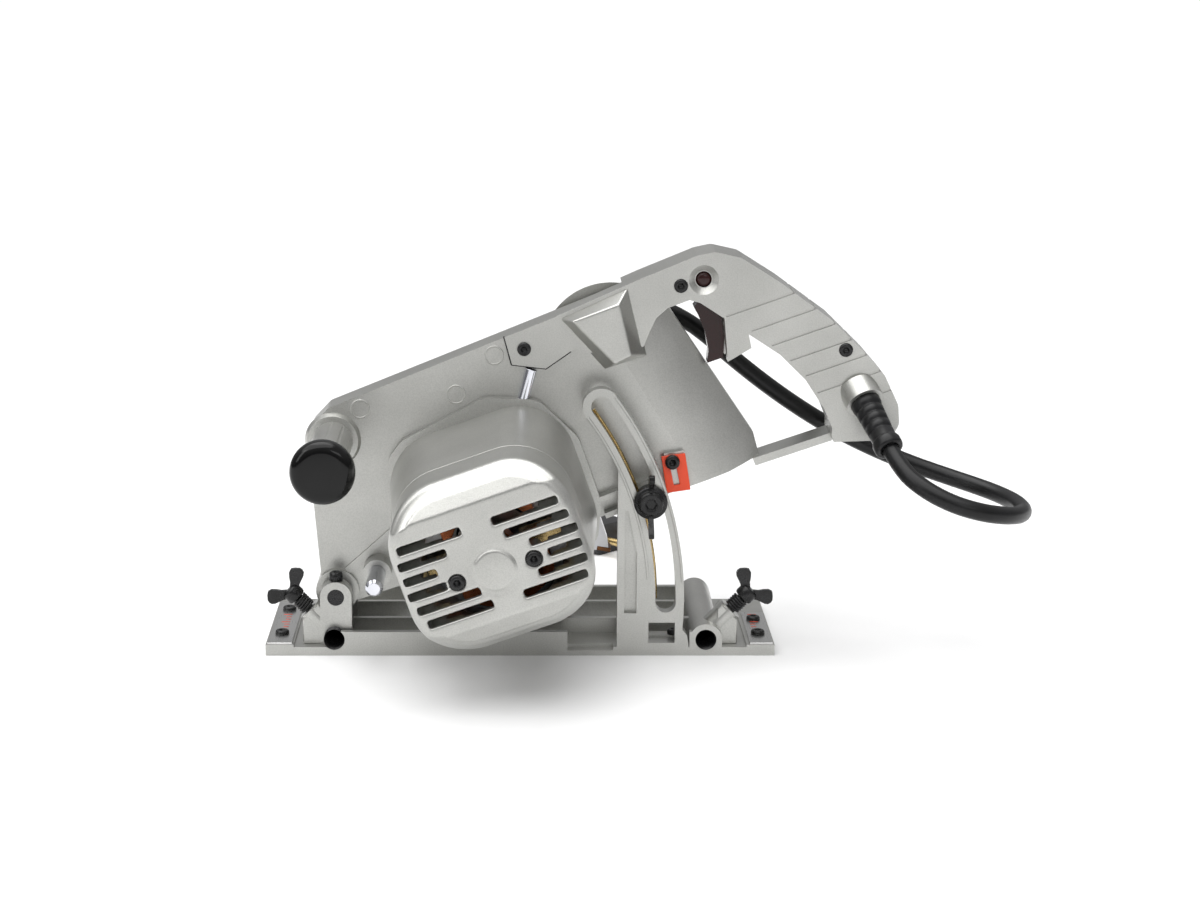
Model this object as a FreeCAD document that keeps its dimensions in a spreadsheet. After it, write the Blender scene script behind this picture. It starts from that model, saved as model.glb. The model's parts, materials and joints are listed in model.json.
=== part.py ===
import FreeCAD, Part
import math
import os
import re
import Sketcher
from FreeCAD import Placement, Rotation, Vector

# Portable groove cutter: a flat base with two long bores for a guide, a cutting unit that
# swings on a pin at the front of the base, a slotted quadrant that holds its depth, a motor
# that stands out to one side, a closed D-handle at the rear and a power cord.
# World frame: +X towards the rear handle, +Y away from the motor, +Z up, Z = 0 on the sole.
# Pieces of the base are drawn from the base's middle (X), its motor-side face (Y) and the
# sole (Z). Pieces of the cutting unit are drawn level, from the pin's axis, and then tilted.

doc = FreeCAD.newDocument("groove_cutter")
sheet = doc.addObject("Spreadsheet::Sheet", "Dims")
rows_used = 0


def set_dims(values):
    """Put named numbers into the sheet, one row each."""
    global rows_used
    for alias, value in values.items():
        rows_used += 1
        sheet.set(f"A{rows_used}", alias)
        sheet.set(f"B{rows_used}", str(value))
        sheet.setAlias(f"B{rows_used}", alias)


set_dims({
    # places of the frame
    "unit_tilt": 19.5, "pivot_x": -105, "pivot_z": 32.5, "side_shift": -14,
    # base casting
    "base_length": 290, "base_width": 98, "floor_thick": 5, "rail_thick": 4, "rail_height": 14,
    "end_pad_height": 6.4, "end_pad_length": 16, "inner_wall_y": 28, "inner_wall_thick": 3.5,
    "window_front": -72, "window_rear": 64, "window_far_y": 62,
    "guide_x": 105.8, "guide_z": 9.3, "guide_radius": 6, "guide_boss_radius": 9.2,
    "ear_width": 18, "ear_radius": 9, "ear_thick": 10, "ear_near_y": 6, "ear_far_y": 58,
    "seat_front": 53, "seat_rear": 96.4, "seat_depth": 9, "notch_front": 27, "notch_depth": 7,
    "wing_y": 13, "wing_boss_radius": 7, "wing_boss_reach": 21, "wing_hole_radius": 3.06,
    # hinge pin
    "pin_radius": 4.8, "pin_bore_radius": 4.88, "lug_radius": 12.3, "lug_near_y": 20.5, "lug_far_y": 57,
    "set_screw_radius": 2, "set_screw_head": 4,
    # scale plates
    "plate_thick": 1.2, "front_plate_length": 14, "rear_plate_length": 13, "plate_screw_radius": 2,
    # depth quadrant
    "quad_thick": 8, "slot_mid_radius": 187.5, "slot_half_width": 5.75, "quad_inner": 177,
    "quad_outer": 198, "slot_low_angle": -0.4, "slot_high_angle": 36.7, "quad_edge_x": 55,
    # gear case and its covers
    "case_near_y": 24, "wall_thick": 4, "cover_y": 47.5, "case_far_y": 51,
    "rear_bend_radius": 88, "shell_wall": 3.5,
    "flange_near_y": 17,
    # motor, measured from its own axis
    "motor_u": 102.5, "motor_w": 14.4, "barrel_near_y": -63, "motor_face_y": -107,
    "barrel_half_width": 50.5, "barrel_top": 52, "barrel_bottom": -42, "barrel_corner": 33,
    "barrel_taper": 2.6, "barrel_bore_radius": 38.5, "cover_wall": 4,
    "bulkhead_near_y": -6, "bulkhead_far_y": 3,
    "shaft_radius": 4, "armature_radius": 21, "bearing_radius": 11, "bearing_width": 7,
    "axis_boss_radius": 11.5, "cover_bevel_rim": 14,
    # gears
    "gear_module": 1.25, "pinion_teeth": 8, "wheel_teeth": 23, "gear_play": 0.06,
    "spindle_radius": 6, "pinion_bore": 2.5, "running_gap": 0.03,
    # cutter
    "cutter_radius": 60, "cutter_body_radius": 53, "cutter_near_y": 33.5, "cutter_width": 13,
    "cutter_teeth": 8, "cutter_turn": 29.3,
    # front knob
    "knob_u": 28.1, "knob_w": 83.4, "knob_post_radius": 11.5, "knob_cap_radius": 17.8,
    "knob_ring_radius": 16, "knob_cap_y": -62, "knob_cap_length": 14,
    # handle
    "grip_near_y": 21, "grip_far_y": 55, "grip_mid_y": 38, "grip_round": 7,
    "trigger_half": 6, "trigger_pin_radius": 1.5,
    # small fittings on the near face
    "pointer_y": 18, "pointer_thick": 2, "pointer_screw_u": 206, "pointer_screw_w": 8.3,
    "plunger_u": 26.5, "plunger_w": 4.5, "plunger_radius": 5, "conduit_radius": 3.4,
    # dust spout on the far face
    "spout_u": 193, "spout_w": 74.4, "spout_flange_radius": 40, "spout_radius": 15, "spout_bore": 12.5,
    "spout_far_y": 92,
    # power cord
    "cord_diameter": 10, "tie_thick": 1,
})
doc.recompute()


def words(text):
    """An expression with each alias pointed at the sheet."""
    return re.sub(r"[a-z]+(?:_[a-z0-9]+)+", lambda found: "Dims." + found[0], str(text))


def number(text):
    """The value of an expression in millimetres or degrees."""
    if isinstance(text, (int, float)):
        return float(text)
    return float(sheet.evalExpression(words(text)))


def bind(thing, prop, text):
    """Bind one size of a feature to the sheet."""
    thing.setExpression(prop, words(text))


def point(at):
    return Vector(*[number(value) for value in at])


def turn_to(along):
    directions = {"X": (1, 0, 0), "Y": (0, 1, 0), "Z": (0, 0, 1)}
    return Rotation(Vector(0, 0, 1), Vector(*directions.get(along, along)))


def box(name, low, size):
    """A block from its lowest corner and its three sizes."""
    made = doc.addObject("Part::Box", name)
    for prop, text in zip(("Length", "Width", "Height"), size):
        bind(made, prop, text)
    made.Placement = Placement(point(low), Rotation())
    return made


def cylinder(name, radius, length, at, along="Y"):
    """A round bar from the middle of its first end."""
    made = doc.addObject("Part::Cylinder", name)
    bind(made, "Radius", radius)
    bind(made, "Height", length)
    made.Placement = Placement(point(at), turn_to(along))
    return made


def cone(name, radius_from, radius_to, length, at, along="Y"):
    """A tapered round bar from the middle of its first end."""
    made = doc.addObject("Part::Cone", name)
    bind(made, "Radius1", radius_from)
    bind(made, "Radius2", radius_to)
    bind(made, "Height", length)
    made.Placement = Placement(point(at), turn_to(along))
    return made


def fuse(name, pieces):
    made = doc.addObject("Part::MultiFuse", name)
    made.Shapes = pieces
    return made


def cut(name, base, tools):
    made = doc.addObject("Part::Cut", name)
    made.Base = base
    made.Tool = tools[0] if len(tools) == 1 else fuse(name + "_tools", tools)
    return made


def common(name, pieces):
    made = doc.addObject("Part::MultiCommon", name)
    made.Shapes = pieces
    return made


def outline(sketch, points):
    """Straight sides round the points, each held by two distances from the origin."""
    corners = [Vector(number(x), number(z), 0) for x, z in points]
    for first, second in zip(corners, corners[1:] + corners[:1]):
        sketch.addGeometry(Part.LineSegment(first, second))
    for index, (x, z) in enumerate(points):
        nxt = (index + 1) % len(points)
        sketch.addConstraint(Sketcher.Constraint("Coincident", index, 2, nxt, 1))
        for kind, text, value in (("DistanceX", x, corners[index].x), ("DistanceY", z, corners[index].y)):
            held = sketch.addConstraint(Sketcher.Constraint(kind, index, 1, value))
            if isinstance(text, str):
                bind(sketch, f"Constraints[{held}]", text)


def prism(name, points, y_from, y_to, taper=None):
    """A closed outline in X and Z, padded along Y."""
    body = doc.addObject("PartDesign::Body", name)
    plane = [item for item in body.Origin.OriginFeatures if item.Role == "XZ_Plane"][0]
    sketch = body.newObject("Sketcher::SketchObject", name + "_outline")
    sketch.AttachmentSupport = [(plane, "")]
    sketch.MapMode = "FlatFace"
    bind(sketch, "AttachmentOffset.Base.z", f"-({y_from})")
    outline(sketch, points)
    pad = body.newObject("PartDesign::Pad", name + "_pad")
    pad.Profile = sketch
    pad.Reversed = True
    bind(pad, "Length", f"({y_to}) - ({y_from})")
    if taper is not None:
        bind(pad, "TaperAngle", taper)
    doc.recompute()
    return body


def is_corner(edge, spots):
    """An edge along Y that stands at one of the outline's points."""
    ends = [vertex.Point for vertex in edge.Vertexes]
    if len(ends) != 2 or abs(ends[0].y - ends[1].y) < 1:
        return False
    middle = (ends[0] + ends[1]) / 2
    return any(math.hypot(middle.x - x, middle.z - z) < 3 for x, z in spots)


def round_edges(body, radius, chosen):
    """Round the edges of a body's tip that the test picks."""
    before = body.Tip
    names = [f"Edge{index + 1}" for index, edge in enumerate(before.Shape.Edges) if chosen(edge)]
    fillet = body.newObject("PartDesign::Fillet", body.Name + "_round")
    fillet.Base = (before, names)
    bind(fillet, "Radius", radius)
    body.Tip = fillet
    doc.recompute()


def round_corners(body, radius, spots):
    """Round the corners of a prism at the given points of its outline."""
    places = [(number(x), number(z)) for x, z in spots]
    round_edges(body, radius, lambda edge: is_corner(edge, places))


def solid(name, shape):
    """A piece whose shape is worked out from the sheet's values."""
    made = doc.addObject("Part::Feature", name)
    made.Shape = shape
    return made


nodes = []
BASE = Placement(Vector(0, number("side_shift"), 0), Rotation())
UNIT = Placement(Vector(number("pivot_x"), number("side_shift"), number("pivot_z")),
                 Rotation(Vector(0, 1, 0), -number("unit_tilt")))


def node(label, piece, frame):
    """Name a finished sub-part and put it in its place."""
    piece.Label = label
    piece.Placement = frame.multiply(piece.Placement)
    nodes.append(piece)


def screw(name, spots, y_face, head_radius, head_height, shank_radius, shank_length):
    """A group of equal pan-head screws that point along +Y, heads on the motor side."""
    parts = []
    for index, (x, z) in enumerate(spots):
        head = cylinder(f"{name}_head{index}", head_radius, head_height, (x, f"{y_face} - {head_height}", z))
        shank = cylinder(f"{name}_shank{index}", shank_radius, shank_length, (x, y_face, z))
        socket = cylinder(f"{name}_socket{index}", f"{shank_radius} * 0.6", f"{head_height} * 0.6",
                          (x, f"{y_face} - {head_height}", z))
        parts.append(cut(f"{name}_cut{index}", fuse(f"{name}_one{index}", [head, shank]), [socket]))
    return parts[0] if len(parts) == 1 else fuse(name + "_group", parts)


# ---------------------------------------------------------------- base
SIDES = (("front", -1), ("rear", 1))
DIAGONAL = math.sqrt(0.5)

WING_LEAN = math.radians(28)


def wing_direction(side):
    """The wing bolts point outwards and up, at 45 degrees."""
    return (side * DIAGONAL, 0, DIAGONAL)


def wing_spot(side, reach):
    """A point on a wing bolt's axis, so far from the guide bore's axis."""
    return (f"{side} * (guide_x + {reach} * {DIAGONAL})", "wing_y", f"guide_z + {reach} * {DIAGONAL}")


def ear(name, y):
    """A plate that carries one end of the hinge pin."""
    foot = box(name + "_foot", ("pivot_x - ear_width / 2", y, "floor_thick"),
               ("ear_width", "ear_thick", "pivot_z - floor_thick"))
    top = cylinder(name + "_top", "ear_radius", "ear_thick", ("pivot_x", y, "pivot_z"))
    return [foot, top]


def base_casting():
    floor = box("floor", ("-base_length / 2", 0, 0), ("base_length", "base_width", "floor_thick"))
    pads = [box(f"end_pad_{side}", (x, 0, 0), ("end_pad_length", "base_width", "end_pad_height"))
            for side, x in (("front", "-base_length / 2"), ("rear", "base_length / 2 - end_pad_length"))]
    rails = [box(f"rail_{side}", ("-guide_x", y, 0), ("2 * guide_x", "rail_thick", "rail_height"))
             for side, y in (("near", 0), ("far", "base_width - rail_thick"))]
    walls = [box(f"inner_wall_{side}", ("-guide_x", y, 0), ("2 * guide_x", "inner_wall_thick", "rail_height"))
             for side, y in (("near", "inner_wall_y"), ("far", "window_far_y"))]
    bosses = []
    for name, side in SIDES:
        x = f"{side} * guide_x"
        bosses.append(cylinder(f"boss_{name}", "guide_boss_radius", "base_width", (x, 0, "guide_z")))
        bosses.append(box(f"boss_foot_{name}", (f"{x} - guide_boss_radius", 0, 0),
                          ("2 * guide_boss_radius", "base_width", "guide_z")))
        reach_start = wing_spot(side, 0)
        bosses.append(cylinder(f"wing_boss_{name}", "wing_boss_radius", "wing_boss_reach",
                               reach_start, wing_direction(side)))
    body = fuse("base_body", [floor] + pads + rails + walls + bosses
                + ear("ear_near", "ear_near_y") + ear("ear_far", "ear_far_y"))
    bores = [cylinder(f"guide_bore_{name}", "guide_radius", "base_width + 2",
                      (f"{side} * guide_x", -1, "guide_z")) for name, side in SIDES]
    taps = [cylinder(f"wing_tap_{name}", "wing_hole_radius", "wing_boss_reach + 1",
                     wing_spot(side, 0), wing_direction(side)) for name, side in SIDES]
    pin_hole = cylinder("ear_pin_hole", "pin_radius", 70, ("pivot_x", 5, "pivot_z"))
    tap = cylinder("set_screw_tap", "set_screw_radius", 12,
                   ("pivot_x", "ear_near_y + ear_thick / 2", "pivot_z"), "Z")
    window = box("cutter_window", ("window_front", "inner_wall_y + inner_wall_thick", -1),
                 ("window_rear - window_front", "window_far_y - inner_wall_y - inner_wall_thick",
                  "rail_height"))
    seat = box("quadrant_seat", ("seat_front", -1, "floor_thick"),
               ("seat_rear - seat_front", "seat_depth + 1", 30))
    notch = box("rail_notch", ("notch_front", -1, "floor_thick - 2"),
                ("seat_front - notch_front", "notch_depth + 1", 30))
    quad_taps = [cylinder(f"quad_tap{index}", 2, 6, (x, 13, 1), "Z") for index, x in enumerate(QUAD_SCREWS)]
    plate_taps = [cylinder(f"plate_tap{index}", "plate_screw_radius", 6, (x, y, 1), "Z")
                  for index, (x, y) in enumerate(PLATE_SCREWS)]
    return cut("base", body, bores + taps + [pin_hole, tap, window, seat, notch] + quad_taps + plate_taps)


QUAD_SCREWS = (66, 88)
PLATE_SCREWS = ((-137, 18), (-137, 66), (137, 18), (137, 46))
node("base_casting", base_casting(), BASE)

node("hinge_pin", cylinder("pin", "pin_radius", 62, ("pivot_x", 6, "pivot_z")), BASE)
set_screw = fuse("set_screw_parts", [
    cylinder("set_shank", "set_screw_radius", "ear_radius - pin_radius",
             ("pivot_x", "ear_near_y + ear_thick / 2", "pivot_z + pin_radius"), "Z"),
    cylinder("set_head", "set_screw_head", 5,
             ("pivot_x", "ear_near_y + ear_thick / 2", "pivot_z + ear_radius"), "Z")])
node("hinge_set_screw", set_screw, BASE)


def scale_plate(name, low_x, length, width, screws):
    blank = box(name + "_blank", (low_x, 0.5, "end_pad_height"), (length, width, "plate_thick"))
    holes = [cylinder(f"{name}_hole{index}", "plate_screw_radius", 4, (x, y, "end_pad_height - 1"), "Z")
             for index, (x, y) in enumerate(screws)]
    return cut(name, blank, holes)


node("scale_plates", fuse("plate_pair", [
    scale_plate("front_plate", "1 - base_length / 2", "front_plate_length", 82, PLATE_SCREWS[:2]),
    scale_plate("rear_plate", "base_length / 2 - 1 - rear_plate_length", "rear_plate_length", 60,
                PLATE_SCREWS[2:])]), BASE)
plate_screws = []
for number_in_row, (screw_x, screw_y) in enumerate(PLATE_SCREWS):
    plate_screws.append(cylinder(f"plate_shank{number_in_row}", "plate_screw_radius",
                                 "end_pad_height + plate_thick - 1", (screw_x, screw_y, 1), "Z"))
    plate_screws.append(cone(f"plate_head{number_in_row}", 4, 3, 2.4,
                             (screw_x, screw_y, "end_pad_height + plate_thick"), "Z"))
node("scale_plate_screws", fuse("plate_screw_group", plate_screws), BASE)


# ---------------------------------------------------------------- depth quadrant
def on_arc(radius, angle):
    """A point in X and Z on a circle round the hinge pin, at an angle above level."""
    return (number("pivot_x") + radius * math.cos(math.radians(angle)),
            number("pivot_z") + radius * math.sin(math.radians(angle)))


def arc_band(inner, outer, low, high, y_from, y_to):
    """A flat curved band round the hinge pin, between two angles."""
    def edge(radius, first, last):
        three = [on_arc(radius, angle) for angle in (first, (first + last) / 2, last)]
        return Part.Arc(*[Vector(x, y_from, z) for x, z in three]).toShape()
    sides = [Part.LineSegment(Vector(on_arc(inner, angle)[0], y_from, on_arc(inner, angle)[1]),
                              Vector(on_arc(outer, angle)[0], y_from, on_arc(outer, angle)[1])).toShape()
             for angle in (low, high)]
    wire = Part.Wire(Part.__sortEdges__([edge(inner, low, high), edge(outer, low, high)] + sides))
    return Part.Face(wire).extrude(Vector(0, y_to - y_from, 0))


def disc(radius, centre, y_from, y_to):
    return Part.makeCylinder(radius, y_to - y_from, Vector(centre[0], y_from, centre[1]), Vector(0, 1, 0))


def quadrant():
    """A curved slotted plate on a foot that is screwed to the base."""
    thick = number("quad_thick")
    middle = number("slot_mid_radius")
    half = number("slot_half_width")
    low = number("slot_low_angle")
    high = number("slot_high_angle")
    band = arc_band(number("quad_inner"), number("quad_outer"), low - 7, high, 0, thick)
    cap = disc(number("quad_outer") - middle, on_arc(middle, high), 0, thick)
    edge_x = number("quad_edge_x")
    foot_points = [(edge_x, 5), (96, 5), (95, 12), (90, 18), (88, 32), (78, 70), (72, 100), (60, 118),
                   (edge_x, 108)]
    foot = Part.Face(Part.makePolygon([Vector(x, 0, z) for x, z in foot_points + foot_points[:1]]))
    foot = foot.extrude(Vector(0, thick, 0))
    flange = Part.makeBox(34, 10, 4, Vector(60, 8, 5))
    slot = arc_band(middle - half, middle + half, low, high, -1, thick + 1)
    ends = [disc(half, on_arc(middle, angle), -1, thick + 1) for angle in (low, high)]
    outside = arc_band(number("quad_outer"), 260, -3, 40, -1, thick + 1)
    window = Part.makeBox(15, 12, 12, Vector(73, -1, 7.5))
    pocket_points = [(59, 25), (66, 25), (66, 60), (61, 85), (59, 85)]
    pocket = Part.Face(Part.makePolygon([Vector(x, -1, z) for x, z in pocket_points + pocket_points[:1]]))
    shape = band.fuse([cap, foot, flange]).removeSplitter()
    shape = shape.cut([slot, outside, window, pocket.extrude(Vector(0, 5, 0))] + ends)
    below = Part.makeBox(400, 60, 60, Vector(-100, -20, 5 - 60))
    holes = [Part.makeCylinder(2, 8, Vector(x, 13, 4), Vector(0, 0, 1)) for x in QUAD_SCREWS]
    return shape.cut([below] + holes)


node("depth_quadrant", solid("quadrant", quadrant()), BASE)
quad_screws = []
for number_in_row, screw_x in enumerate(QUAD_SCREWS):
    quad_screws.append(cylinder(f"quad_shank{number_in_row}", 2, 8, (screw_x, 13, 1), "Z"))
    quad_screws.append(cylinder(f"quad_head{number_in_row}", 3.6, 3, (screw_x, 13, 9), "Z"))
node("quadrant_screws", fuse("quad_screw_group", quad_screws), BASE)


# ---------------------------------------------------------------- wing bolts on the base
def wing_bolt(name, side):
    """A thumb screw: a shank, a hub and two wings that lie across the base."""
    along = wing_direction(side)
    shank = cylinder(name + "_shank", "wing_hole_radius - 0.06", 24, wing_spot(side, 7), along)
    hub = cylinder(name + "_hub", 5.5, 7, wing_spot(side, 30), along)
    centre = point(wing_spot(side, 34))
    wings = []
    for turn in (-1, 1):
        across = Vector(-side * DIAGONAL, 0, DIAGONAL) * turn
        direction = across * math.cos(WING_LEAN) + Vector(*along) * math.sin(WING_LEAN)
        blade = Part.makeCylinder(4, 3, Vector(0, -1.5, 0), Vector(0, 1, 0))
        blade.translate(centre + direction * 10)
        web = Part.makeBox(10, 3, 5.6, Vector(0, -1.5, -2.8))
        web.Placement = Placement(centre, Rotation(Vector(1, 0, 0), direction)).multiply(web.Placement)
        wings.append(solid(f"{name}_wing{turn + 1}", blade.fuse(web)))
    return fuse(name, [shank, hub] + wings)


def wing_spring(name, side):
    """A wire spring under a wing bolt, as a plain sleeve."""
    along = wing_direction(side)
    outer = cylinder(name + "_outer", 5, 8.4, wing_spot(side, 21.3), along)
    inner = cylinder(name + "_inner", 3.6, 10, wing_spot(side, 20.5), along)
    return cut(name, outer, [inner])


for side_name, side_sign in SIDES:
    node(f"{side_name}_wing_bolt", wing_bolt(f"{side_name}_bolt", side_sign), BASE)
    node(f"{side_name}_wing_spring", wing_spring(f"{side_name}_spring", side_sign), BASE)


# ---------------------------------------------------------------- gear case
CASE_OUTLINE = [(-10, -4), (13, 84), (19, 95), (32, 101.7), (228, 110.8), (232, 92), (255, 5), (254, -8),
                (235, -10), (10, -10)]
WEB_OUTLINE = [(250, -8), (295.9, -8.5), (295.9, -13), (250, -12.5)]
CASE_INSIDE = [(16, 14), (33, 92), (34, 97.5), (224, 106.5), (228, 92), (250, 5), (250, -3), (168, -3),
               (168, -12), (30, -12), (30, 14)]
SPINDLE = ("motor_u", "motor_w - gear_module * (pinion_teeth + wheel_teeth) / 2")
AXIS = ("motor_u", "motor_w")
FLANGE_OUTLINE = [(51.5, 30), (52, 62), (65, 71), (118, 79), (146, 68), (160.5, 40), (160.5, 0),
                  (150, -24), (60, -24), (51.5, -10)]
CLAMP = (187.4, -4.9)
CONDUIT_FROM = Vector(136.2, 20.45, 67.4)
CONDUIT_TO = Vector(148.2, 20.45, 85.2)
CONDUIT_LINE = (CONDUIT_TO - CONDUIT_FROM).normalize()


def rear_bend(name, inset):
    """A large cylinder along the raked rear edge, inside which the rear of the case lies."""
    slope = Vector(26, 0, -118).normalize()
    start = Vector(178, number("case_near_y + rear_bend_radius"), 140) - slope * 100
    return cylinder(name, f"rear_bend_radius - {inset}", 420, tuple(start), tuple(slope))


def beyond_bend(name, y_to):
    """The space to the rear of the line where the near face starts to bend."""
    return prism(name, [(184, 140), (400, 140), (400, -60), (228, -60)], 10, y_to)


def gear_case():
    block = prism("case_block", CASE_OUTLINE, "case_near_y", "cover_y")
    round_corners(block, 6, [(13, 84), (19, 95), (32, 101.7)])
    lug = cylinder("case_lug", "lug_radius", "lug_far_y - lug_near_y", (0, "lug_near_y", 0))
    web = prism("case_web", WEB_OUTLINE, "case_near_y + 6", "case_far_y")
    flange = prism("case_flange", FLANGE_OUTLINE, "flange_near_y", "case_near_y")
    round_corners(flange, 14, FLANGE_OUTLINE)
    boss = cylinder("clamp_boss", 8, "case_near_y - 9", (CLAMP[0], 9, CLAMP[1]))
    pad = prism("pointer_pad", [(199, -6), (203, 14), (214, 12), (210, -9)], "pointer_y + pointer_thick + 0.05",
                "case_near_y + 6")
    seat = cylinder("plunger_seat", 8, "case_near_y - 10", ("plunger_u", 10, "plunger_w"))
    rib = prism("case_rib", [(7, 10), (41, 24), (43, 21), (8, 6)], "case_near_y - 1.5", "case_near_y")
    ribs = [prism(f"bottom_rib{index}", [(160, top), (190, top + 1), (190, top - 2), (160, top - 3)],
                  "case_near_y - 8", "case_near_y") for index, top in enumerate((3, -7))]
    inside = prism("case_inside", CASE_INSIDE, "case_near_y + wall_thick", "cover_y + 1")
    hollow = cut("case_hollow", inside, [cut("hollow_limit", beyond_bend("hollow_rear", 60),
                                             [rear_bend("bend_inner", "wall_thick")])])
    bent = cut("bent_block", block, [cut("bend_waste", beyond_bend("bend_rear", 49),
                                         [rear_bend("bend_outer", 0)])])
    shell = cut("case_shell", bent, [hollow])
    whole = fuse("case_parts", [shell, lug, web, flange, boss, pad, seat, rib] + ribs)
    holes = [
        cylinder("lug_bore", "pin_bore_radius", 60, (0, 10, 0)),
        cylinder("spindle_seat", "bearing_radius", "bearing_width", (SPINDLE[0], "flange_near_y", SPINDLE[1])),
        cylinder("spindle_pass", 8, 20, (SPINDLE[0], "flange_near_y", SPINDLE[1])),
        cylinder("gear_pass", 7, 4, (AXIS[0], "flange_near_y", AXIS[1])),
        cylinder("clamp_tap", 3, 21, (CLAMP[0], 8, CLAMP[1])),
        cylinder("plunger_bore", "plunger_radius + 0.06", 30, ("plunger_u", 4, "plunger_w")),
        cylinder("pointer_tap", 1.55, 8, ("pointer_screw_u", 17, "pointer_screw_w")),
        cylinder("knob_tap", 4, 30, ("knob_u", 10, "knob_w")),
        cylinder("conduit_socket", "conduit_radius", 30, tuple(CONDUIT_FROM), tuple(CONDUIT_LINE)),
    ]
    return cut("case", whole, holes)


node("gear_case", gear_case(), UNIT)

COVER_OUTLINE = [(14, 60), (19, 93), (32, 99), (227, 108), (231, 92), (253.5, 5), (252.5, -7),
                 (168, -9), (30, -9), (16, 14)]
COVER_SCREWS = ((24, 70), (40, 96), (120, 99.6), (214, 20), (244, 10), (180, -6))


def cutter_cover():
    plate = prism("cover_plate", COVER_OUTLINE, "cover_y", "case_far_y")
    bulge = cone("cover_bulge", 36, 32, 12, (SPINDLE[0], "case_far_y", SPINDLE[1]))
    room = cylinder("bulge_room", 27, 12.5, (SPINDLE[0], "cover_y - 1", SPINDLE[1]))
    flat = box("bulge_flat", (40, "case_far_y - 0.5", -60), (130, 20, 51))
    drum = cut("bulge_upper", bulge, [flat])
    holes = [cylinder(f"cover_hole{index}", 1.9, 10, (x, "cover_y - 2", z))
             for index, (x, z) in enumerate(COVER_SCREWS)]
    outlet = cylinder("cover_outlet", "spout_bore", 10, ("spout_u", "cover_y - 2", "spout_w"))
    return cut("cover", fuse("cover_parts", [plate, drum]), [room, outlet] + holes)


node("cutter_cover", cutter_cover(), UNIT)
cover_screws = []
for number_in_row, (screw_x, screw_z) in enumerate(COVER_SCREWS):
    cover_screws.append(cylinder(f"cover_shank{number_in_row}", 1.9, "case_far_y - cover_y",
                                 (screw_x, "cover_y", screw_z)))
    cover_screws.append(cylinder(f"cover_head{number_in_row}", 3.6, 2.6, (screw_x, "case_far_y", screw_z)))
node("cover_screws", fuse("cover_screw_group", cover_screws), UNIT)

spout = cut("spout", fuse("spout_parts", [
    cone("spout_flange", "spout_flange_radius", "spout_flange_radius - 4", 6,
         ("spout_u", "case_far_y", "spout_w")),
    cylinder("spout_neck", "spout_radius", "spout_far_y - case_far_y",
             ("spout_u", "case_far_y", "spout_w"))]),
    [cylinder("spout_hole", "spout_bore", 60, ("spout_u", "case_far_y - 1", "spout_w")),
     box("spout_trim", (150, 40, 114.5), (90, 30, 20))])
node("dust_spout", spout, UNIT)


# ---------------------------------------------------------------- motor
def barrel_outline(grow):
    """The motor's section: a rectangle whose corners are rounded later."""
    left, right = f"motor_u - barrel_half_width - {grow}", f"motor_u + barrel_half_width + {grow}"
    low, high = f"motor_w + barrel_bottom - {grow}", f"motor_w + barrel_top + {grow}"
    return [(left, low), (right, low), (right, high), (left, high)]


def motor_housing():
    barrel = prism("barrel", barrel_outline(0), "barrel_near_y", "flange_near_y", "barrel_taper")
    corners = [(x, z) for x, z in barrel_outline(1.8)]
    round_corners(barrel, "barrel_corner", corners)
    tools = [
        cylinder("barrel_bore", "barrel_bore_radius", "bulkhead_near_y - barrel_near_y + 1",
                 (AXIS[0], "barrel_near_y - 1", AXIS[1])),
        cylinder("gear_room", "barrel_bore_radius - 1", 20, (AXIS[0], "bulkhead_far_y", AXIS[1])),
        cylinder("front_bearing_seat", "bearing_radius", "bearing_width",
                 (AXIS[0], "bulkhead_far_y - bearing_width", AXIS[1])),
        cylinder("shaft_pass", 7.5, 20, (AXIS[0], "bulkhead_near_y - 4", AXIS[1])),
        cylinder("spindle_end_seat", 8, 5, (SPINDLE[0], "bulkhead_far_y - 5", SPINDLE[1])),
    ]
    return cut("housing", barrel, tools)


node("motor_housing", motor_housing(), UNIT)

# Air slots of the end cover: height above the motor's axis, and the ends of the slot to one
# side of it. The other side is the same, turned half round.
SLOT_ROWS = ((25, 7, 43), (16.5, 11, 46), (8, 22, 49), (-0.5, 29, 48), (-9, 21, 48), (-17.5, 10, 45))
SLOT_HEIGHT = 4.6
SLOT_MIDDLE = 4.1


def air_slots():
    slots = []
    for index, (height, first, last) in enumerate(SLOT_ROWS):
        for turn in (1, -1):
            middle = height if turn > 0 else 2 * SLOT_MIDDLE - height
            low_u = first if turn > 0 else -last
            slots.append(box(f"air_slot{index}_{turn + 1}",
                             (f"motor_u + {low_u}", "motor_face_y - 2", f"motor_w + {middle - SLOT_HEIGHT / 2}"),
                             (last - first, 22, SLOT_HEIGHT)))
    return slots


END_SCREWS = ((81.5, 14.5), (123.6, 13.4))


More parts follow.
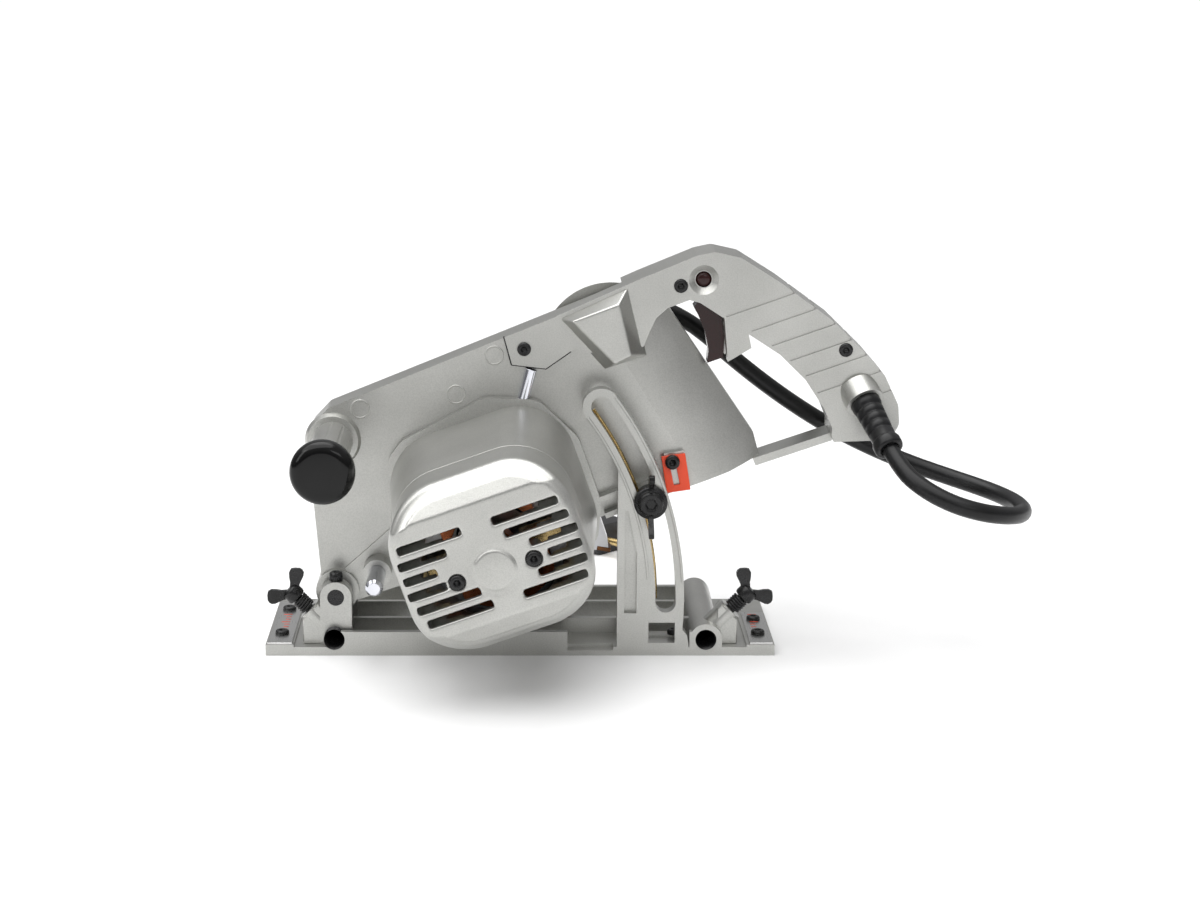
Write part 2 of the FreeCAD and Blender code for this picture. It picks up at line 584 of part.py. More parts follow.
def motor_end_cover():
    block = prism("end_block", barrel_outline(0), "motor_face_y", "barrel_near_y")
    round_corners(block, "barrel_corner", barrel_outline(0))
    bevels = []
    for name, first, last in (("upper", 36, 60), ("lower", -24, -50)):
        points = [("motor_face_y - 1", first), ("motor_face_y - 1", last),
                  (f"motor_face_y + cover_bevel_rim", last)]
        corners = [Vector(0, number(y), number("motor_w") + height) for y, height in points]
        wedge = Part.Face(Part.makePolygon(corners + corners[:1])).extrude(Vector(140, 0, 0))
        wedge.translate(Vector(number("motor_u") - 70, 0, 0))
        bevels.append(solid(f"{name}_bevel", wedge))
    bevelled = cut("end_bevelled", block, bevels)
    inside = cylinder("end_inside", "barrel_bore_radius", "barrel_near_y - motor_face_y - cover_wall - 6",
                      (AXIS[0], "motor_face_y + cover_wall + 6", AXIS[1]))
    inside_face = cylinder("end_inside_face", 31, 8, (AXIS[0], "motor_face_y + cover_wall", AXIS[1]))
    seat_boss = cylinder("end_seat_boss", 14, 16, (AXIS[0], "motor_face_y + cover_wall - 1", AXIS[1]))
    disc_boss = cylinder("end_disc", "axis_boss_radius", 3, (AXIS[0], "motor_face_y - 1", AXIS[1]))
    posts = [cylinder(f"end_post{index}", 6, 20, (x, "motor_face_y + 1", z))
             for index, (x, z) in enumerate(END_SCREWS)]
    hollow = cut("end_hollow", bevelled, [inside, inside_face])
    slotted = cut("end_slotted", hollow, air_slots())
    whole = fuse("end_parts", [slotted, seat_boss, disc_boss] + posts)
    seat = cylinder("rear_bearing_seat", "bearing_radius", 20, (AXIS[0], "motor_face_y + 11", AXIS[1]))
    bore = cylinder("rear_shaft_pass", 6, 20, (AXIS[0], "motor_face_y + 5", AXIS[1]))
    screw_holes = [cylinder(f"end_hole{index}", 2, 30, (x, "motor_face_y - 1", z))
                   for index, (x, z) in enumerate(END_SCREWS)]
    sinks = [cylinder(f"end_sink{index}", 4.4, 3, (x, "motor_face_y - 1", z))
             for index, (x, z) in enumerate(END_SCREWS)]
    return cut("end_cover", whole, [seat, bore] + screw_holes + sinks)


node("motor_end_cover", motor_end_cover(), UNIT)
node("end_cover_screws", screw("end_screw", END_SCREWS, "motor_face_y + 2", 4.2, 3, 2, 19), UNIT)

CORE = (-50, -20)


def ring(name, outer, inner, y_from, y_to, centre=AXIS):
    return cut(name, cylinder(name + "_outer", outer, y_to - y_from, (centre[0], y_from, centre[1])),
               [cylinder(name + "_hole", inner, y_to - y_from + 2, (centre[0], y_from - 1, centre[1]))])


def field_coils():
    """Two windings that stand out of both ends of the field core, above and below the armature."""
    pieces = []
    for name, side in (("upper", 1), ("lower", -1)):
        arch = ring(f"{name}_coil_ring", 34, 24, CORE[0] - 9, CORE[1] + 6)
        keep = box(f"{name}_coil_keep", ("motor_u - 26", CORE[0] - 10, f"motor_w + {10 if side > 0 else -36}"),
                   (52, CORE[1] - CORE[0] + 20, 26))
        pieces.append(common(f"{name}_coil", [arch, keep]))
    return pieces


coils = field_coils()
core_blank = ring("core_blank", "barrel_bore_radius", "armature_radius + 1", *CORE)
node("field_core", cut("core", core_blank, [fuse("coil_room", field_coils())]), UNIT)
node("field_coils", fuse("coil_group", coils), UNIT)

COMMUTATOR = (-72, -60)
BRUSH_Y = -66
brush_parts = {"holder": [], "brush": [], "spring": []}
for name, side in (("front", -1), ("rear", 1)):
    toward = (side, 0, 0)
    holder = box(f"holder_{name}", (f"motor_u + {15 if side > 0 else -38}", BRUSH_Y - 5, "motor_w - 6"),
                 (23, 10, 12))
    room = box(f"holder_room_{name}", (f"motor_u + {14 if side > 0 else -35}", BRUSH_Y - 3, "motor_w - 4"),
               (21, 6, 8))
    brush_parts["holder"].append(cut(f"brush_holder_{name}", holder, [room]))
    brush_parts["brush"].append(box(f"brush_{name}", (f"motor_u + {12.2 if side > 0 else -24.2}",
                                                      BRUSH_Y - 3, "motor_w - 4"), (12, 6, 8)))
    brush_parts["spring"].append(cylinder(f"brush_spring_{name}", 2.6, 10.8,
                                          (f"motor_u + {side * 24.2}", BRUSH_Y, "motor_w"), toward))
node("brush_holders", fuse("holder_group", brush_parts["holder"]), UNIT)
node("carbon_brushes", fuse("brush_group", brush_parts["brush"]), UNIT)
node("brush_springs", fuse("spring_group", brush_parts["spring"]), UNIT)


def involute(base_radius, radius):
    """The angle by which an involute has turned where it reaches a radius."""
    roll = math.acos(base_radius / radius)
    return math.tan(roll) - roll


def gear_shape(teeth, turned, y_from, y_to, centre, bore):
    """A spur gear with 25 degree involute flanks and short teeth; one tooth points at an angle."""
    module = number("gear_module")
    pressure = math.radians(25)
    pitch = module * teeth / 2
    base_radius = pitch * math.cos(pressure)
    tip = pitch + 0.7 * module
    root = pitch - 0.95 * module
    half = math.pi / (2 * teeth) + involute(base_radius, pitch) - number("gear_play") / pitch
    start = max(base_radius, root) + 0.001
    flank = [start + (tip - start) * step / 4 for step in range(5)]
    points = []
    for tooth in range(int(teeth)):
        middle = turned + 2 * math.pi * tooth / teeth
        side = [(radius, half - involute(base_radius, radius)) for radius in flank]
        low = [(root, half)] + side
        for radius, angle in [(r, -a) for r, a in low] + [(r, a) for r, a in reversed(low)]:
            points.append(Vector(number(centre[0]) + radius * math.cos(middle + angle), y_from,
                                 number(centre[1]) + radius * math.sin(middle + angle)))
    blank = Part.Face(Part.makePolygon(points + points[:1])).extrude(Vector(0, y_to - y_from, 0))
    hole = Part.makeCylinder(bore, y_to - y_from + 2,
                             Vector(number(centre[0]), y_from - 1, number(centre[1])), Vector(0, 1, 0))
    return blank.cut(hole)


GEARS = (6, 16)
shaft = fuse("shaft_parts", [
    cylinder("shaft_bar", "shaft_radius", 104, (AXIS[0], -100, AXIS[1])),
    cylinder("shaft_nose", "pinion_bore", 12, (AXIS[0], 4, AXIS[1]))])
node("armature_shaft", shaft, UNIT)
node("drive_pinion", solid("pinion", gear_shape(number("pinion_teeth"), -math.pi / 2, *GEARS, AXIS,
                                                number("pinion_bore"))), UNIT)
node("armature_core", ring("armature", "armature_radius", "shaft_radius", *CORE), UNIT)
node("commutator", ring("commutator_ring", 12, "shaft_radius", *COMMUTATOR), UNIT)


def cooling_fan():
    """A hub, a back plate and twelve straight blades."""
    hub = ring("fan_hub", 10, "shaft_radius", -12, -7)
    plate = ring("fan_plate", 33, "shaft_radius", -9, -7.5)
    blades = []
    for index in range(12):
        angle = 2 * math.pi * index / 12
        blade = Part.makeBox(20, 4.5, 1.6, Vector(11, -13.4, -0.8))
        spun = Placement(point((AXIS[0], 0, AXIS[1])), Rotation(Vector(0, 1, 0), math.degrees(angle)))
        blade.Placement = spun.multiply(blade.Placement)
        blades.append(solid(f"fan_blade{index}", blade))
    return fuse("fan", [hub, plate] + blades)


node("cooling_fan", cooling_fan(), UNIT)
bearings = [ring("front_bearing", "bearing_radius", "shaft_radius + running_gap", -4, 3),
            ring("rear_bearing", "bearing_radius", "shaft_radius + running_gap", -96, -89)]
bearings += [ring("spindle_bearing", "bearing_radius", "spindle_radius + running_gap", 17, 24, SPINDLE),
             ring("spindle_end_bearing", 8, "3 + running_gap", -2, 3, SPINDLE)]
node("bearings", fuse("bearing_group", bearings), UNIT)


# ---------------------------------------------------------------- spindle and cutter
WHEEL_TURN = math.pi / 2 + math.pi / number("wheel_teeth")
node("drive_gear", solid("wheel", gear_shape(number("wheel_teeth"), WHEEL_TURN, *GEARS, SPINDLE,
                                             number("spindle_radius"))), UNIT)
spindle = fuse("spindle_parts", [
    cylinder("spindle_tail", 3, 9, (SPINDLE[0], -2, SPINDLE[1])),
    cylinder("spindle_bar", "spindle_radius", 42.5, (SPINDLE[0], 4, SPINDLE[1]))])
node("spindle", cut("spindle_tapped", spindle, [cylinder("spindle_tap", 3, 14,
                                                         (SPINDLE[0], 33, SPINDLE[1]))]), UNIT)
node("inner_flange", ring("inner_flange_ring", 20, "spindle_radius", 29, 33.5, SPINDLE), UNIT)
node("outer_flange", ring("outer_flange_ring", 20, 3, 46.5, 50, SPINDLE), UNIT)


def tooth_turn(index):
    """The turn of one tooth; the photograph shows one between the motor and the quadrant."""
    return Rotation(Vector(0, 1, 0), number("cutter_turn") + 360 * index / number("cutter_teeth"))


def cutter():
    """A thick disc with cut-away gullets in front of square teeth."""
    centre = Vector(number(SPINDLE[0]), 0, number(SPINDLE[1]))
    near, width = number("cutter_near_y"), number("cutter_width")
    body_radius, tip = number("cutter_body_radius"), number("cutter_radius")
    disc_blank = Part.makeCylinder(body_radius, width, centre + Vector(0, near, 0), Vector(0, 1, 0))
    teeth, gullets = [], []
    for index in range(int(number("cutter_teeth"))):
        spin = tooth_turn(index)
        shoulder = Part.Face(Part.makePolygon([Vector(x, near, z) for x, z in (
            (0, body_radius - 6), (0, tip - 1), (-7, tip - 3), (-20, body_radius - 3), (-20, body_radius - 8),
            (0, body_radius - 6))])).extrude(Vector(0, width, 0))
        shoulder.Placement = Placement(centre, spin)
        teeth.append(shoulder)
        gullet = Part.makeCylinder(8, width + 2, Vector(8, near - 1, body_radius - 1), Vector(0, 1, 0))
        gullet.Placement = Placement(centre, spin)
        gullets.append(gullet)
    hole = Part.makeCylinder(number("spindle_radius"), 60, centre, Vector(0, 1, 0))
    return disc_blank.fuse(teeth).cut(gullets + [hole] + [tooth.Shape for tooth in tip_parts]).removeSplitter()


def cutter_tips():
    """Hard tips brazed on the leading faces of the teeth."""
    centre = Vector(number(SPINDLE[0]), 0, number(SPINDLE[1]))
    near, width = number("cutter_near_y"), number("cutter_width")
    tip = number("cutter_radius")
    tips = []
    for index in range(int(number("cutter_teeth"))):
        block = Part.makeBox(2.5, width, 8, Vector(-2.5, near, tip - 8.2))
        block.Placement = Placement(centre, tooth_turn(index))
        tips.append(solid(f"tip{index}", block))
    return tips


tip_parts = cutter_tips()
node("cutter", solid("cutter_body", cutter()), UNIT)
node("cutter_tips", fuse("tip_group", tip_parts), UNIT)
bolt = fuse("bolt_parts", [
    cylinder("bolt_shank", 3, 13, (SPINDLE[0], 37, SPINDLE[1])),
    cylinder("bolt_head", 6, 5, (SPINDLE[0], 50, SPINDLE[1]))])
bolt_socket = cylinder("bolt_socket", 2.6, 3, (SPINDLE[0], 52.5, SPINDLE[1]))
node("cutter_bolt", cut("bolt", bolt, [bolt_socket]), UNIT)


# ---------------------------------------------------------------- front knob
def knob_post():
    """A fluted post on a ring; its stud goes through the case wall."""
    post = cylinder("post", "knob_post_radius", "case_near_y - knob_cap_y - knob_cap_length",
                    ("knob_u", "knob_cap_y + knob_cap_length", "knob_w"))
    ring_part = cone("post_ring", "knob_ring_radius - 1.5", "knob_ring_radius", 4,
                     ("knob_u", "case_near_y - 4", "knob_w"))
    stud = cylinder("post_stud", 4, 4, ("knob_u", "case_near_y", "knob_w"))
    flutes = []
    for index in range(10):
        angle = 2 * math.pi * index / 10
        flutes.append(cylinder(f"flute{index}", 1.8, 58,
                               (f"knob_u + {13 * math.cos(angle)}", "knob_cap_y + knob_cap_length + 6",
                                f"knob_w + {13 * math.sin(angle)}")))
    return fuse("post_whole", [cut("post_fluted", post, flutes), ring_part, stud])


node("front_knob_post", knob_post(), UNIT)
cap = fuse("cap_parts", [
    cone("cap_face", "knob_cap_radius - 3", "knob_cap_radius", 4, ("knob_u", "knob_cap_y", "knob_w")),
    cylinder("cap_body", "knob_cap_radius", 6, ("knob_u", "knob_cap_y + 4", "knob_w")),
    cone("cap_back", "knob_cap_radius", "knob_post_radius", 4, ("knob_u", "knob_cap_y + 10", "knob_w"))])
node("front_knob_cap", cap, UNIT)


# ---------------------------------------------------------------- D-handle
HANDLE_OUTER = [(171, 108.8), (222, 113), (257, 114.8), (267, 113.5), (280, 105.3), (295.8, 85.3),
                (316.6, 55.1), (329, 30), (335, 15), (337, -4), (334, -15), (326, -21.5), (296, -12),
                (296, -8), (297.6, -4), (297, 7.3), (292, 27.6), (283, 46), (270, 63), (269, 55), (254, 52),
                (260, 76), (250, 89), (245, 92.5), (232, 92.3), (224, 89), (218, 83), (212, 76), (177, 84)]
BRACKET = [(140, 107.2), (138.8, 91), (156, 82.5), (177, 88.5), (177, 108.8)]
WIRING_FACE = [(179.3, 105), (207, 105.4), (203.8, 75.8), (193.6, 74.2)]
WIRING_FOOT = [(171.5, 107), (216.5, 112), (212.5, 70), (187, 70.5)]
HANDLE_SCREWS = ((148.2, 97.2), (242.9, 101.7), (318.8, 36.2))
LOCK_BUTTON = (256.1, 100.6)
TRIGGER_PIN = (254, 86.5)
GLAND_ROOT = Vector(319, 21, 8.5)
GLAND_TIP = Vector(322.5, -10, -18.8)
GRIP_CORNERS = [(257, 114.8), (267, 113.5), (280, 105.3), (337, -4), (334, -15), (326, -21.5), (335, 15)]


def handle_inset(wall):
    """The hollow of the handle: two straight rooms, in the top and in the grip."""
    top = [(228, 96), (228, 109), (256, 110.5), (266, 108), (284, 92), (272, 72), (265, 80), (254, 92),
           (246, 97)]
    grip = [(274, 70), (286, 88), (291, 83), (312, 52), (324, 28), (330.5, 12), (332, -4), (329.5, -12),
            (325, -16.5), (302, -9), (303, 8), (298, 29), (289, 49)]
    return [prism(f"handle_room_{name}_{wall}", points, y_from, y_to)
            for name, points, (y_from, y_to) in (("top", top, ROOM_SPAN[wall]), ("grip", grip, ROOM_SPAN[wall]))]


ROOM_SPAN = {"near": ("grip_near_y + shell_wall", "grip_mid_y + 1"),
             "far": ("grip_mid_y - 1", "grip_far_y - shell_wall")}


def case_room(name):
    """The space that the case takes up between the two halves of the handle."""
    return prism(name, CASE_OUTLINE, "case_near_y", "case_far_y")


def trigger_room(name):
    return prism(name, [(238, 50), (238, 96), (262, 96), (262, 50)], "grip_mid_y - trigger_half - 0.5",
                 "grip_mid_y + trigger_half + 0.5")


def trigger_pin(name):
    return cylinder(name, "trigger_pin_radius", 27, (TRIGGER_PIN[0], 24.5, TRIGGER_PIN[1]))


GROOVE_LEVELS = (77, 64.5, 52.8, 41.2, 30, 18.5, 6.2)
GROOVE_WIDTH, GROOVE_DEPTH = 1.3, 0.8
GRIP_BACK = [(280, 105.3), (295.8, 85.3), (316.6, 55.1), (329, 30), (335, 15), (337, -4)]
GRIP_FRONT = [(254, 84), (260, 76), (269, 66), (283, 46), (292, 27.6), (297, 7.3), (297.6, -4)]


def across_at(line, level):
    """How far along the unit a line stands at a height above the pin."""
    for (x_high, high), (x_low, low) in zip(line, line[1:]):
        if low <= level <= high:
            return x_low + (x_high - x_low) * (level - low) / (high - low)


def grip_grooves(name, face_y, inward):
    """Shallow grooves across one side of the grip and over its back."""
    middle = number("grip_mid_y")
    grooves = []
    for index, level in enumerate(GROOVE_LEVELS):
        back = across_at(GRIP_BACK, level)
        front = across_at(GRIP_FRONT, level) + 2
        if level < GLAND_ROOT.z + 4:
            front = GLAND_ROOT.x + 10
        across = Part.makeBox(back - front + 5, 2 * GROOVE_DEPTH, GROOVE_WIDTH,
                              Vector(front, face_y - GROOVE_DEPTH, level - GROOVE_WIDTH / 2))
        behind = Part.makeBox(6, abs(middle - face_y) + 4, GROOVE_WIDTH,
                              Vector(back - GROOVE_DEPTH, min(middle, face_y - inward * 4),
                                     level - GROOVE_WIDTH / 2))
        grooves.append(solid(f"{name}_groove{index}", across.fuse(behind)))
    return grooves


def handle_near_shell():
    half = prism("near_half", HANDLE_OUTER, "grip_near_y", "grip_mid_y")
    round_corners(half, "grip_round", GRIP_CORNERS)
    bracket = prism("near_bracket", BRACKET, "grip_near_y", "grip_mid_y")
    posts = [cylinder(f"near_post{index}", 5, 15, (x, "grip_near_y + 2", z))
             for index, (x, z) in enumerate(HANDLE_SCREWS[1:])]
    direction = GLAND_TIP - GLAND_ROOT
    direction.normalize()
    collar = cylinder("gland_boss", 11, 12, tuple(GLAND_ROOT - direction * 6), tuple(direction))
    tools = handle_inset("near") + [case_room("near_case_room"), trigger_room("near_trigger_room")]
    hollow = cut("near_hollow", fuse("near_blank", [half, bracket, collar]), tools)
    whole = fuse("near_whole", [hollow] + posts)
    holes = [cylinder(f"near_hole{index}", 2, 40, (x, "grip_near_y - 1", z))
             for index, (x, z) in enumerate(HANDLE_SCREWS)]
    sinks = [cylinder(f"near_sink{index}", 4, 2.1, (x, "grip_near_y - 1", z))
             for index, (x, z) in enumerate(HANDLE_SCREWS[1:])]
    button = cylinder("near_button_hole", 4.56, 40, (LOCK_BUTTON[0], "grip_near_y - 1", LOCK_BUTTON[1]))
    recess = cone("near_button_recess", 8.4, 5, 2.9, (LOCK_BUTTON[0], "grip_near_y - 0.01", LOCK_BUTTON[1]))
    gland = cone("near_gland_hole", 8.7, 8.7, 20, tuple(GLAND_ROOT - direction * 10), tuple(direction))
    grooves = grip_grooves("near", number("grip_near_y"), 1)
    return cut("near_shell", whole, holes + sinks + grooves
               + [button, recess, gland, trigger_pin("near_pin_hole")])


def handle_far_shell():
    half = prism("far_half", HANDLE_OUTER, "grip_mid_y", "grip_far_y")
    round_corners(half, "grip_round", GRIP_CORNERS)
    posts = [cylinder(f"far_post{index}", 5, 15, (x, "grip_mid_y", z))
             for index, (x, z) in enumerate(HANDLE_SCREWS[1:])]
    tools = handle_inset("far") + [case_room("far_case_room"), trigger_room("far_trigger_room")]
    hollow = cut("far_hollow", half, tools)
    whole = fuse("far_whole", [hollow] + posts)
    holes = [cylinder(f"far_hole{index}", 2, 12, (x, "grip_mid_y - 1", z))
             for index, (x, z) in enumerate(HANDLE_SCREWS[1:])]
    clear = cylinder("far_spout_room", "spout_flange_radius + 1", 20, ("spout_u", 45, "spout_w"))
    front = box("far_front_room", (100, 37, 60), (112, 30, 70))
    grooves = grip_grooves("far", number("grip_far_y"), -1)
    return cut("far_shell", whole, holes + grooves + [clear, front, trigger_pin("far_pin_hole")])


node("handle_near_shell", handle_near_shell(), UNIT)
node("handle_far_shell", handle_far_shell(), UNIT)
handle_screws = screw("handle_screw", HANDLE_SCREWS[1:], "grip_near_y + 1", 3.9, 2.2, 2, 26)
bracket_screw = screw("bracket_screw", HANDLE_SCREWS[:1], "grip_near_y", 3.9, 2.2, 2, 3)
node("handle_screws", fuse("handle_screw_group", [handle_screws, bracket_screw]), UNIT)


def wiring_cover():
    """A box with sloped sides over the wires where the handle meets the case."""
    ends = [Part.makePolygon([Vector(x, y, z) for x, z in points + points[:1]])
            for points, y in ((WIRING_FACE, 9), (WIRING_FOOT, number("case_near_y")))]
    block = solid("wiring_block", Part.makeLoft(ends, True, True))
    room = prism("wiring_room", [(184, 100), (184, 103), (206, 103), (203, 79), (195, 78)], 13,
                 "case_near_y + 1")
    taken = prism("wiring_taken", HANDLE_OUTER, "grip_near_y", "case_near_y + 1")
    bracket = prism("wiring_bracket", BRACKET, "grip_near_y", "case_near_y + 1")
    return cut("wiring", block, [room, taken, bracket])


node("wiring_cover", wiring_cover(), UNIT)

TRIGGER = [(246, 86), (247, 80), (247.5, 70), (246, 60), (243, 53), (252.5, 53), (257, 64), (259, 76),
           (257, 86), (252, 90)]
trigger_blank = prism("trigger_body", TRIGGER, "grip_mid_y - trigger_half", "grip_mid_y + trigger_half")
trigger_bore = cylinder("trigger_bore", "trigger_pin_radius + 2 * running_gap", 30,
                        (TRIGGER_PIN[0], 23, TRIGGER_PIN[1]))
node("trigger", cut("trigger_drilled", trigger_blank, [trigger_bore]), UNIT)
node("trigger_pin", trigger_pin("trigger_axle"), UNIT)
node("switch_block", box("switch_body", (249.5, 35, 96.5), (14, 14, 11)), UNIT)
button_parts = fuse("button_parts", [
    cylinder("button_stem", 4.5, 5.5, (LOCK_BUTTON[0], 23, LOCK_BUTTON[1])),
    cylinder("button_flange", 6.9, 1.5, (LOCK_BUTTON[0], 28.5, LOCK_BUTTON[1]))])
node("lock_button", button_parts, UNIT)


# ---------------------------------------------------------------- fittings on the near face
node("wire_conduit", cylinder("conduit", "conduit_radius", (CONDUIT_TO - CONDUIT_FROM).Length,
                              tuple(CONDUIT_FROM), tuple(CONDUIT_LINE)), UNIT)

pointer_blank = prism("pointer_blank", [(197.2, -7.9), (201, 13), (214.4, 10.4), (210.6, -10.5)], "pointer_y",
                      "pointer_y + pointer_thick")
pointer_slot = prism("pointer_slot", [(202.4, -5.2), (204.5, 10.4), (207.9, 10), (205.8, -5.6)], "pointer_y - 1",
                     "pointer_y + pointer_thick + 1")
node("depth_pointer", cut("pointer", pointer_blank, [pointer_slot]), UNIT)
pointer_screw = fuse("pointer_screw_parts", [
    cylinder("pointer_shank", 1.55, "case_near_y - pointer_y", ("pointer_screw_u", "pointer_y - 0.2", "pointer_screw_w")),
    cylinder("pointer_head", 4.2, 2.6, ("pointer_screw_u", "pointer_y - 2.8", "pointer_screw_w"))])
node("pointer_screw", pointer_screw, UNIT)

plunger = fuse("plunger_parts", [
    cylinder("plunger_bar", "plunger_radius", 38, ("plunger_u", -20, "plunger_w")),
    cone("plunger_nose", 3.5, "plunger_radius", 2, ("plunger_u", -22, "plunger_w"))])
node("stop_plunger", plunger, UNIT)
node("plunger_spring", cylinder("plunger_spring_body", 3.6, 9.5, ("plunger_u", 18.3, "plunger_w")), UNIT)


CLAMP_WING = [(4, -1.6), (4, -8), (9, -9), (12.5, -15), (17, -16.5), (18.5, -13.5), (15, -6), (10, -1.8)]
CLAMP_WING_THICK = 4


def clamp_knob():
    """A wing nut: a round hub with two wings, upright in the photograph, that stand outwards."""
    hub = cylinder("clamp_hub", 9.5, 7, (CLAMP[0], -8.2, CLAMP[1]))
    tilt = math.radians(number("unit_tilt"))
    centre = Vector(CLAMP[0], 0, CLAMP[1])
    wings = []
    for turn in (-1, 1):
        upright = Vector(math.sin(tilt), 0, math.cos(tilt)) * turn
        side = upright.cross(Vector(0, 1, 0)) * CLAMP_WING_THICK
        corners = [centre + upright * reach + Vector(0, y, 0) - side / 2 for reach, y in CLAMP_WING]
        blade = Part.Face(Part.makePolygon(corners + corners[:1])).extrude(side)
        wings.append(solid(f"clamp_wing{turn + 1}", blade))
    socket = cylinder("clamp_socket", 3.05, 20, (CLAMP[0], -6, CLAMP[1]))
    return cut("clamp", fuse("clamp_parts", [hub] + wings), [socket])


node("depth_clamp_knob", clamp_knob(), UNIT)
node("clamp_stud", cylinder("stud", 3, 28, (CLAMP[0], -5.5, CLAMP[1])), UNIT)
bush = ring("clamp_bush_ring", 5.6, 3, 0.2, 8.8, CLAMP)
washer = ring("clamp_washer_ring", 8.5, 3, -1, -0.2, CLAMP)
node("clamp_bush_and_washer", fuse("clamp_rings", [bush, washer]), UNIT)


# ---------------------------------------------------------------- cord gland and power cord
gland_along = GLAND_TIP - GLAND_ROOT
gland_length = gland_along.Length
gland_along.normalize()


def cord_gland():
    """A tapered rubber sleeve with a collar at its mouth."""
    root = GLAND_ROOT - gland_along * 9
    sleeve = cone("gland_sleeve", 8.7, 7, gland_length + 9, tuple(root), tuple(gland_along))
    collar = cylinder("gland_collar", 8.2, 6, tuple(GLAND_TIP - gland_along * 6), tuple(gland_along))
    keep = cylinder("gland_keep", 8.7, gland_length + 20, tuple(root), tuple(gland_along))
    hole = cylinder("gland_hole", "cord_diameter / 2", 14, tuple(GLAND_TIP - gland_along * 12),
                    tuple(gland_along))
    return cut("gland", common("gland_kept", [fuse("gland_parts", [sleeve, collar]), keep]), [hole])


node("cord_gland", cord_gland(), UNIT)

CORD_START = UNIT.multVec(GLAND_TIP - gland_along * 12) - BASE.Base
CORD_CLEAR = UNIT.multVec(GLAND_TIP + gland_along * 14) - BASE.Base
CORD_LEVEL = number("cord_diameter / 2 + tie_thick")

# The cord's route out of the gland, in the base's axes: a loop out to the rear and back along
# the far side, over the neck of the dust spout, and down to the coil on the ground.
CORD_ROUTE = [
    tuple(CORD_START), tuple(CORD_CLEAR), (220.9, -33, 105.6), (235.5, -40.6, 99), (251.5, -42, 94.5),
    (266, -35, 91), (276.5, -21.5, 88), (282.5, -4.5, 86), (282.8, 14, 85.5), (276.5, 31, 86.5),
    (265, 45, 88.5), (249, 55.5, 92), (229.5, 63, 97.5), (206, 67.5, 106.5), (179, 69.5, 120),
    (152, 70.5, 137.5), (126, 71, 157.5), (103, 71.5, 178), (81, 73, 193), (59, 75.5, 198.5),
    (36.5, 79, 196.5), (16.5, 85, 187), (1.4, 92.6, 171.7), (-8.7, 100.3, 151.3), (-16, 107.6, 126.3),
    (-23, 114.5, 100), (-28.5, 122.5, 74.5), (-35.5, 129.5, 50), (-41.5, 137, 29), (-50.6, 147.9, 14.2),
    (-63.1, 162.8, CORD_LEVEL), (-76.6, 178.9, CORD_LEVEL),
]


def cord_path(route):
    """Straight runs joined by tangent arcs, each as large as its two runs allow."""
    points = [Vector(*place) for place in route]
    edges, start = [], points[0]
    for before, corner, after in zip(points, points[1:], points[2:]):
        back, ahead = before - corner, after - corner
        reach = 0.45 * min(back.Length, ahead.Length)
        back.normalize()
        ahead.normalize()
        half_turn = (math.pi - back.getAngle(ahead)) / 2
        first, last = corner + back * reach, corner + ahead * reach
        radius = reach / math.tan(half_turn)
        inward = (back + ahead).normalize()
        middle = corner + inward * (radius / math.cos(half_turn) - radius)
        print(f"cord arc at {corner.x:.0f}, {corner.y:.0f}, {corner.z:.0f}: radius {radius:.0f} mm")
        edges.append(Part.LineSegment(start, first).toShape())
        edges.append(Part.Arc(first, middle, last).toShape())
        start = last
    edges.append(Part.LineSegment(start, points[-1]).toShape())
    return Part.Wire(edges)


def swept_cord(path):
    """A round tube along the path."""
    radius = number("cord_diameter / 2")
    begin = path.Edges[0]
    heading = begin.tangentAt(begin.FirstParameter)
    section = Part.Wire(Part.Circle(path.Vertexes[0].Point, heading, radius).toShape())
    tube = path.makePipeShell([section], True, False)
    expected = math.pi * radius ** 2 * path.Length
    print(f"cord tube: length {path.Length:.0f} mm, volume over section times length "
          f"{tube.Volume / expected:.4f}")
    return tube


cord_line = cord_path(CORD_ROUTE)
node("power_cord", solid("cord_tube", swept_cord(cord_line)), BASE)

COIL_INNER, COIL_OUTER, COIL_HEIGHT = 46, 70, 30
LEAD_LENGTH = 41
cord_end, cord_before = Vector(*CORD_ROUTE[-1]), Vector(*CORD_ROUTE[-2])
heading = (cord_end - cord_before).normalize()
coil_centre = cord_end + heading * LEAD_LENGTH + Vector(heading.y, -heading.x, 0) * (COIL_OUTER - 5.6)
coil_centre.z = number("tie_thick")
TAIL_ANGLE = math.radians(45)
TAIL_LEVEL = 10
tail_from = coil_centre + Vector(math.cos(TAIL_ANGLE), math.sin(TAIL_ANGLE), 0) * (COIL_OUTER - 6)
tail_from.z = TAIL_LEVEL
tail_along = Vector(math.sin(TAIL_ANGLE), -math.cos(TAIL_ANGLE), 0)
TAIL_LENGTH = 52
UP = Vector(0, 0, 1)


def coil_ring():
    outer = Part.makeCylinder(COIL_OUTER, COIL_HEIGHT, coil_centre, UP)
    return outer.cut(Part.makeCylinder(COIL_INNER, COIL_HEIGHT, coil_centre, UP))


def cord_coil():
    """The put-away length as one ring, with the two cord ends that leave it along its edge."""
    radius = number("cord_diameter / 2")
    lead = Part.makeCylinder(radius, LEAD_LENGTH, cord_end, heading)
    tail = Part.makeCylinder(radius, TAIL_LENGTH, tail_from, tail_along)
    return coil_ring().fuse([lead, tail])


def cord_tie():
    """A strap round the coil's turns."""
    wrap = number("tie_thick")
    blank = Part.makeBox(COIL_OUTER - COIL_INNER + 3, 12, COIL_HEIGHT + 2 * wrap,
                         Vector(COIL_INNER - 1.5, -6, -wrap))
    blank.Placement = Placement(coil_centre, Rotation(UP, -70)).multiply(blank.Placement)
    return blank.cut(coil_ring())


